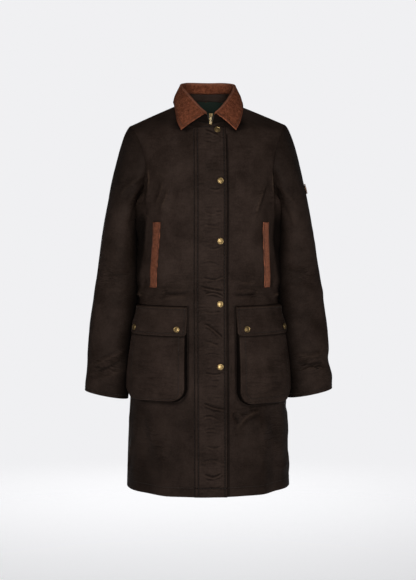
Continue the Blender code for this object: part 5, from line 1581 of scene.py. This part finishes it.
pocket_lines = [inset_line(POCKET_STITCH)]
stitched = []               # (piece name, cloth, lines) for the stitches
SIDES = (("right", front_right_base, RIGHT), ("left", front_left_base, LEFT))
for word, front, side in SIDES:
    cloth = pocket_grid(front, POCKET_CREASES[word], side, 10 + side)
    piece = sew(word + "_pocket", [cloth], POCKET_CLOTH, [waxed], pocket_lines)
    dress(piece, "pocket_" + word)
    stitched.append((word + "_pocket", cloth, pocket_lines))

# %% Cut and sew the pocket flaps
FLAP_SEAM_LINE, FLAP_EDGE_LINE, FLAP_SIDE_TOP = -0.4862, 0.006, 0.004
FLAP_RISE_ROWS, FLAP_FACE_ROWS, FLAP_FACE_COLUMNS = 13, 49, 121
POCKET_SNAP_CLEAR = 0.005


def flap_edge_line(inset):
    left, right, foot = FLAP_INNER + inset, FLAP_OUTER - inset, FLAP_BOTTOM + inset
    top = FLAP_TOP - FLAP_SIDE_TOP
    return [(left, top), (left, foot), (right, foot), (right, top)]


def pocket_flap_grid(front, side, shift):
    fall = np.linspace(0, 1, FLAP_FACE_ROWS) * (FLAP_TOP - FLAP_BOTTOM - FLAP_RISE)
    drop = np.concatenate([np.linspace(0, FLAP_RISE, FLAP_RISE_ROWS)[:-1], FLAP_RISE + fall])
    low = np.maximum(0.0, FLAP_CORNER - (FLAP_TOP - FLAP_BOTTOM - drop))
    inset = FLAP_CORNER - np.sqrt(np.maximum(FLAP_CORNER ** 2 - low ** 2, 0.0))
    across = np.linspace(0, 1, FLAP_FACE_COLUMNS)[None] * (FLAP_OUTER - FLAP_INNER - 2 * inset)[:, None]
    u = FLAP_INNER + inset[:, None] + across
    v = np.broadcast_to((FLAP_TOP - drop)[:, None], u.shape)
    points, slopes = front.places(u - FRONT_EDGE, v)
    snaps = [around(d, POCKET_SNAP_HEIGHT, POCKET_SNAP_CLEAR) for d in POCKET_SNAPS.values()]
    loose = ease((FLAP_TOP - v) / 0.030) * calm(u, v, snaps)
    broad = np.maximum(ripple(u, v * 0.4, 0.045, shift), -0.2)
    wave = 0.0016 * broad + 0.0004 * ripple(u, v, 0.014, shift + 2)
    lift = flap_lift(u, v) + wave * loose
    cloth = Cloth((points + slopes * lift[..., None])[::-1], side, u[::-1], v[::-1].copy())
    cloth.worn, cloth.draw, cloth.crumple = 0.3, 0.5, 0.25
    return cloth


flap_seam = ((FLAP_INNER, FLAP_SEAM_LINE), (FLAP_OUTER, FLAP_SEAM_LINE))
pocket_flap_lines = [flap_edge_line(FLAP_EDGE_LINE), flap_seam]
for word, front, side in SIDES:
    cloth = pocket_flap_grid(front, side, 20 + side)
    piece = sew(word + "_pocket_flap", [cloth], FLAP_CLOTH, [waxed], pocket_flap_lines)
    dress(piece, "pocket_flap_" + word)
    stitched.append((word + "_pocket_flap", cloth, pocket_flap_lines))

# %% [markdown]
# A welt is a folded strip of needlecord sewn over the hand pocket's mouth, and the patch is a small hide
# square on the sleeve. Both lie flat on a panel, so their grids are places on that panel moved out, with a
# low crown.

# %% Welts and the sleeve patch
# Top and bottom
WELT_PLACES = {"right": ((0.1370, -0.281), (0.1525, -0.437)), "left": ((0.1440, -0.281), (0.1530, -0.437))}
WELT_WIDTH = 0.0235
WELT_RUB = {"right": 0.45, "left": 0.85}        # the left one is paler
WELT_SHADE = {"right": 0.55, "left": 0.0}
WELT_GAP, WELT_CLOTH = 0.0006, 0.0022
PATCH_HEIGHT, PATCH_SHARE, PATCH_HALF = -0.200, 0.485, (0.013, 0.012)
PATCH_GAP, PATCH_CLOTH, PATCH_TRIM, PATCH_CROWN = 0.0011, 0.0018, 0.86, 0.0005
WELT_CROWN, WELT_BUMP = 0.0006, 0.0003
WELT_EDGE_LINE, WELT_END_LINE = 0.0025, 0.003       # stitches inside the edges and the ends
PATCH_LINE = (0.011, 0.010)     # half sizes of the stitched square
WELT_ROWS, WELT_COLUMNS, PATCH_STEPS = 61, 13, 21


def welt_grid(front, side, top, bottom):
    f = np.linspace(0, 1, WELT_ROWS)[:, None]
    shift = np.linspace(-0.5, 0.5, WELT_COLUMNS)[None] * WELT_WIDTH
    u = bottom[0] + (top[0] - bottom[0]) * f + shift
    v = np.broadcast_to(bottom[1] + (top[1] - bottom[1]) * f, u.shape)
    points, slopes = front.places(u - FRONT_EDGE, v)
    crown = WELT_CROWN * (1 - (shift / WELT_WIDTH * 2) ** 2) + WELT_BUMP * ripple(u, v, 0.018, 31)
    return Cloth(points + slopes * (WELT_GAP + WELT_CLOTH + crown)[..., None], side, u, v.copy())


half = WELT_WIDTH / 2 - WELT_EDGE_LINE
for word, front, side in SIDES:
    top, bottom = WELT_PLACES[word]
    cloth = welt_grid(front, side, top, bottom)
    cloth.rub, cloth.shade = WELT_RUB[word], WELT_SHADE[word]
    low, high = bottom[1] + WELT_END_LINE, top[1] - WELT_END_LINE
    welt_lines = [[(bottom[0] + x, low), (top[0] + x, high)] for x in (-half, half)]
    piece = sew("hand_welt_" + word, [cloth], WELT_CLOTH, [cord], welt_lines)
    dress(piece, "welt_" + word)
    stitched.append(("hand_welt_" + word, cloth, welt_lines))


def patch_grid():
    down = sleeve_left.points[::-1]
    grid = Cloth(down, -sleeve_left.sign, sleeve_left.u[::-1], down[:, :, 2])
    outer = int(PATCH_SHARE * grid.u.shape[1])
    row = int(np.argmin(np.abs(grid.v[:, outer] - PATCH_HEIGHT)))
    middle = PATCH_SHARE * grid.u[row, -1]
    s = np.linspace(-1, 1, PATCH_STEPS)
    a, b = np.meshgrid(s, s)
    trim = 1 - (1 - PATCH_TRIM) * (np.abs(a) * np.abs(b)) ** 6
    points, slopes = grid.places(middle + a * trim * PATCH_HALF[0], PATCH_HEIGHT + b * trim * PATCH_HALF[1])
    lift = PATCH_GAP + PATCH_CLOTH + PATCH_CROWN * (1 - a ** 2) * (1 - b ** 2)
    return Cloth(points + slopes * lift[..., None], grid.sign, a * PATCH_HALF[0], b * PATCH_HALF[1])


patch_cloth = patch_grid()
a, b = PATCH_LINE
patch_lines = [[(-a, -b), (a, -b), (a, b), (-a, b), (-a, -b)]]
piece = sew("plain_patch", [patch_cloth], PATCH_CLOTH, [patch], patch_lines)
dress(piece, "sleeve_patch")
stitched.append(("plain_patch", patch_cloth, patch_lines))

# %% [markdown]
# ## Snaps and zip fittings
# Each snap cap is turned metal: a rolled rim, a groove and a low dome. It is turned here from its profile
# with many more sides than the solid has, and stands where its solid stands. The slider keeps its solid, with
# sharp edges rounded by a Bevel modifier. The pull tab is cut anew, narrower, with a waist.

# %% Turn the snaps
SNAP_SIDES = 48
# (radius, height) from the foot over the rim to the middle, in mm
SNAP_PROFILE = [
    (4.2, 0.0), (6.9, 0.1), (7.35, 0.45), (7.5, 1.0), (7.45, 1.6), (7.2, 2.15), (6.75, 2.5), (6.25, 2.6),
    (5.75, 2.48), (5.4, 2.2), (5.15, 2.02), (4.9, 2.0), (4.3, 2.16), (3.4, 2.36), (2.3, 2.5), (1.1, 2.58),
    (0.0, 2.6),
]


def snap_frame(node):
    """Foot, axis and one side of a snap, from its solid: the axis is the thin way through its points."""
    points = np.unique(np.round([v.co for v in nodes[node].data.vertices], 6), axis=0)
    middle = points.mean(axis=0)
    axes = np.linalg.svd(points - middle)[2]
    outward = axes[2][1] < 0 or axes[2][0] * middle[0] > 0.5 * abs(middle[0])
    axis = axes[2] * (1.0 if outward else -1.0)
    foot = middle + axis * ((points - middle) @ axis).min()
    return foot, axis, axes[0]


snap_nodes = [n for n in nodes if n.startswith("snap_")]
angles = np.linspace(0, FULL_TURN, SNAP_SIDES, endpoint=False)
for node in snap_nodes:
    foot, axis, side = snap_frame(node)
    other = np.cross(axis, side)
    vertices = []
    for radius, height in SNAP_PROFILE[:-1]:
        middle = foot + axis * height / 1e3
        vertices += [middle + (side * math.cos(a) + other * math.sin(a)) * radius / 1e3 for a in angles]
    last, top = len(vertices) - SNAP_SIDES, len(vertices)
    vertices.append(foot + axis * SNAP_PROFILE[-1][1] / 1e3)
    faces = ring_faces(0, len(SNAP_PROFILE) - 1, SNAP_SIDES)
    faces += [(last + k, last + (k + 1) % SNAP_SIDES, top) for k in range(SNAP_SIDES)]
    cap = plain_piece(node.replace("snap_", "cap_"), vertices, faces, brass, True)
    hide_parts(node)
print("snaps turned:", len(snap_nodes), "last axis:", axis.round(2))

# %% Round the slider
fitting = nodes["zip_slider"]
# Painted shade: the slider gets the darkest brass
fitting.data.materials.clear()
fitting.data.materials.append(shaded_brass)
weld = fitting.modifiers.new("join corners", "WELD")
weld.merge_threshold = 0.00001
bevel = fitting.modifiers.new("round edges", "BEVEL")
bevel.width = 0.00045
bevel.segments = 3
bevel.limit_method = "ANGLE"
bevel.harden_normals = True
print("slider:", [m.name for m in fitting.modifiers])

# %% Cut the pull tab
TAB_HALF, TAB_WAIST, TAB_STEPS, TAB_THICK, TAB_INSIDE = 0.0019, 0.0015, 24, 0.0012, 0.0004
TAB_FOOT, TAB_HEAD, TAB_BLUNT = 0.30, 0.25, 14      # shares that widen, and how square the ends are
TAB_SECTION = [(-1.0, 0.0), (-0.8, -0.5), (0.0, -0.62), (0.8, -0.5),
               (1.0, 0.0), (0.8, 0.5), (0.0, 0.62), (-0.8, 0.5)]
tab_low, tab_high = (np.array(corner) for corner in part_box("zip_pull"))
print("pull tab's solid, mm:", (tab_high - tab_low).round(4) * 1e3)
tab_middle = (tab_low + tab_high) / 2
tab_thick = min(TAB_THICK, (tab_high - tab_low)[1] * 0.8)
heights = np.linspace(tab_low[2] + TAB_INSIDE, tab_high[2] - TAB_INSIDE, TAB_STEPS)
share = np.linspace(0, 1, TAB_STEPS)
wide = np.maximum(ease((TAB_FOOT - share) / TAB_FOOT), ease((share - 1 + TAB_HEAD) / TAB_HEAD))
blunt = np.sqrt(np.clip(1 - np.abs(2 * share - 1) ** TAB_BLUNT, 0.02, 1))
vertices = []
for z, w in zip(heights, (TAB_WAIST + (TAB_HALF - TAB_WAIST) * wide) * blunt):
    vertices += [(tab_middle[0] + a * w, tab_middle[1] + b * tab_thick, z) for a, b in TAB_SECTION]
sides = len(TAB_SECTION)
faces = ring_faces(0, TAB_STEPS, sides)
faces += [tuple(range(sides - 1, -1, -1)), tuple(range((TAB_STEPS - 1) * sides, TAB_STEPS * sides))]
tab = plain_piece("pull_tab", vertices, faces, bright_brass, True, "zip_pull")
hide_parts("zip_pull")

# %% [markdown]
# ## Stitches
# Every seam that shows is a row of thread. Curves with a bevel would be one smooth cord; a stitch dips into
# the cloth at both ends, so each one is a small grain of its own, laid on the cloth along the same lines that
# carry painted shade on it.

# %% Sew the stitches
STITCH_PITCH, STITCH_LENGTH, STITCH_RADIUS = 0.0034, 0.0026, 0.00042
# Place along the stitch, thickness and height
GRAIN_RINGS = ((-0.5, 0.35, -0.6), (-0.2, 1.0, 0.25), (0.2, 1.0, 0.25), (0.5, 0.35, -0.6))
GRAIN_SIDES = 5
GRAIN_TURNS = [2 * math.pi * k / GRAIN_SIDES for k in range(GRAIN_SIDES)]
END_CLEAR = 0.002           # a row ends this far from the cloth's edge


def stitch_line(cloth, line, vertices, faces):
    """Add grains of thread along a line on the cloth."""
    line = np.array(line, float)
    run = run_along(line)
    start = np.arange(STITCH_PITCH / 2, run[-1] - STITCH_PITCH / 2, STITCH_PITCH)
    if len(start) == 0:
        return

    def at(where):
        return cloth.places(np.interp(where, run, line[:, 0]), np.interp(where, run, line[:, 1]))
    spots, slopes = at(start)
    ahead = unit(at(start + STITCH_LENGTH / 2)[0] - at(start - STITCH_LENGTH / 2)[0])
    across = unit(np.cross(slopes, ahead))
    for spot, up, along, side in zip(spots, slopes, ahead, across):
        faces += ring_faces(len(vertices), len(GRAIN_RINGS), GRAIN_SIDES)
        for f, thick, high in GRAIN_RINGS:
            r, lift, middle = STITCH_RADIUS * thick, high * STITCH_RADIUS, spot + along * f * STITCH_LENGTH
            vertices += [middle + side * math.cos(a) * r + up * (math.sin(a) * r + lift) for a in GRAIN_TURNS]


def within(cloth, line):
    """A level line cut to the width that the cloth has there."""
    (u0, v0), (u1, v1) = line
    row = int(np.argmin(np.abs(cloth.v[:, cloth.v.shape[1] // 2] - v0)))
    return [(max(u0, cloth.u[row, 0] + END_CLEAR), v0), (min(u1, cloth.u[row, -1] - END_CLEAR), v1)]


hems = [("hem_right", front_right, hem_lines), ("hem_left", front_left, hem_lines),
        ("hem_back_right", back_right, hem_lines), ("hem_back_left", back_left, hem_lines),
        ("cuff_right", sleeve_right, cuff_lines), ("cuff_left", sleeve_left, cuff_lines)]
stitched += [(name, cloth, [within(cloth, line) for line in lines]) for name, cloth, lines in hems]
flap_rows = [((x, flap_low + END_CLEAR), (x, flap_high)) for x in (*SEWN_LINES, FREE_LINE)]
flap_rows += [((-0.033, HEM_LINE), (0.033, HEM_LINE)), ((-0.024, flap_high), (0.026, flap_high))]
stitched += [("long_flap", storm_flap, flap_rows), ("cord_collar", collar, collar_lines)]
total = 0
for name, cloth, lines in stitched:
    vertices, faces = [], []
    for line in lines:
        stitch_line(cloth, line, vertices, faces)
    plain_piece("stitches_" + name, vertices, faces, thread, True)
    total += len(vertices) // (GRAIN_SIDES * len(GRAIN_RINGS))
print("stitches:", total)

# %% [markdown]
# ## Floor, light and camera
# The jacket hangs in the air over a plain pale floor, as if worn. The light is large and soft and comes from
# the front, so the cloth that faces the viewer is brightest and the shoulders and sides fall off; painted
# shade on the sleeves, the skirt and beside the arms adds to that. The camera stands three metres away, turned
# a little to the wearer's right and tilted down three degrees.

# %% Floor
FLOOR_HEIGHT, FLOOR_RADIUS, FLOOR_SIDES = -1.45, 4.0, 96
PAPER_DARK, PAPER_LIGHT = (0.80, 0.80, 0.812), (0.83, 0.83, 0.842)
FADE_FROM, FADE_TO = 0.7, 3.2       # the paper fades out towards its edge
floor_mesh = bpy.data.meshes.new("studio_floor")
angles = np.linspace(0, FULL_TURN, FLOOR_SIDES, endpoint=False)
ring = [(FLOOR_RADIUS * math.cos(a), FLOOR_RADIUS * math.sin(a), FLOOR_HEIGHT) for a in angles]
floor_mesh.from_pydata(ring, [], [tuple(range(len(ring)))])
floor = put("studio_floor", floor_mesh)
paper, tree, shader = new_material("pale_paper", 0.9, Specular_IOR_Level=0.1,
                                   Emission_Color=(0.98, 0.98, 1.0, 1.0), Emission_Strength=0.48)
place = own_place(tree)
fibre = noise_node(tree, place, 40.0, 4.0)
feed(tree, shader["Base Color"], mix_colour(tree, fibre, PAPER_DARK, PAPER_LIGHT))
away = vector_node(tree, "LENGTH", vector_node(tree, "MULTIPLY", place, (1.0, 1.0, 0.0)))
feed(tree, shader["Alpha"], range_node(tree, away, FADE_FROM, FADE_TO, 1.0, 0.0))
floor_mesh.materials.append(paper)
print("floor at", FLOOR_HEIGHT)

# %% Light
Lamp = namedtuple("Lamp", "name place aim size power spread")
LAMPS = [
    Lamp("front_window", (-0.15, -3.4, -0.20), (0.02, 0, -0.36), (1.3, 1.3), 9.5, 42.0),
    Lamp("upper_fill", (0.6, -1.6, 2.2), (0, 0, -0.3), (2.0, 1.4), 2.0, 180.0),
    Lamp("back_fill", (0.0, 3.2, -0.6), (0, 0, -0.5), (2.4, 1.2), 40.0, 180.0),
    Lamp("left_side", (-3.0, -0.3, 0.1), (0, 0, -0.5), (1.4, 2.0), 4.5, 180.0),
    Lamp("right_side", (3.0, -0.3, 0.1), (0, 0, -0.5), (1.4, 2.0), 4.5, 180.0),
]
SEEN_SKY, LIT_SKY = (0.871, 0.871, 0.888, 1.0), (0.95, 0.97, 1.0, 1.0)
SKY_LOW, SKY_HIGH = (-0.1, 0.26), (0.7, 0.03)       # level and strength
bpy.context.scene.view_settings.view_transform = "Standard"
bpy.context.scene.view_settings.look = "None"
world = bpy.data.worlds.new("studio")
bpy.context.scene.world = world
world.use_nodes = True
tree = world.node_tree
sky, dim = tree.nodes["Background"], tree.nodes.new("ShaderNodeBackground")
sky.inputs["Color"].default_value = SEEN_SKY
sky.inputs["Strength"].default_value = 1.0
dim.inputs["Color"].default_value = LIT_SKY
level = split_node(tree, tree.nodes.new("ShaderNodeTexCoord").outputs["Generated"])["Z"]
strength = range_node(tree, level, SKY_LOW[0], SKY_HIGH[0], SKY_LOW[1], SKY_HIGH[1])
feed(tree, dim.inputs["Strength"], strength)
mix = tree.nodes.new("ShaderNodeMixShader")
feed(tree, mix.inputs["Fac"], tree.nodes.new("ShaderNodeLightPath").outputs["Is Camera Ray"])
feed(tree, mix.inputs[1], dim.outputs[0])
feed(tree, mix.inputs[2], sky.outputs[0])
feed(tree, tree.nodes["World Output"].inputs["Surface"], mix.outputs[0])
for lamp in LAMPS:
    light = bpy.data.lights.new(lamp.name, "AREA")
    light.shape = "RECTANGLE"
    light.size, light.size_y = lamp.size
    light.energy = lamp.power
    light.spread = math.radians(lamp.spread)
    made = put(lamp.name, light)
    made.location = lamp.place
    made.rotation_euler = (Vector(lamp.aim) - Vector(lamp.place)).to_track_quat("-Z", "Y").to_euler()
print("lights:", len(LAMPS))

# %% Camera
CAMERA_TURN, CAMERA_TILT = math.radians(-3.65), math.radians(3.0)
CAMERA_DISTANCE, CAMERA_HEIGHT = 3.0, -0.29
FOCAL_PIXELS, FRAME_HEIGHT, SENSOR = 1224.0, 580, 36.0
camera_data = bpy.data.cameras.new("viewer")
camera_data.sensor_fit = "VERTICAL"
camera_data.sensor_height = SENSOR
camera_data.lens = FOCAL_PIXELS / FRAME_HEIGHT * SENSOR
camera = put("viewer", camera_data)
ahead = Vector((-math.sin(CAMERA_TURN), math.cos(CAMERA_TURN), 0.0))
camera.location = -ahead * CAMERA_DISTANCE + Vector((0.0, 0.0, CAMERA_HEIGHT))
look = ahead * math.cos(CAMERA_TILT) - Vector((0.0, 0.0, math.sin(CAMERA_TILT)))
camera.rotation_euler = look.to_track_quat("-Z", "Y").to_euler()
bpy.context.scene.camera = camera
print("camera at", tuple(round(x, 3) for x in camera.location), "lens", round(camera_data.lens, 1))

# %% [markdown]
# The dressed jacket should keep the size of the solids.

# %% Finish
bpy.context.view_layer.update()
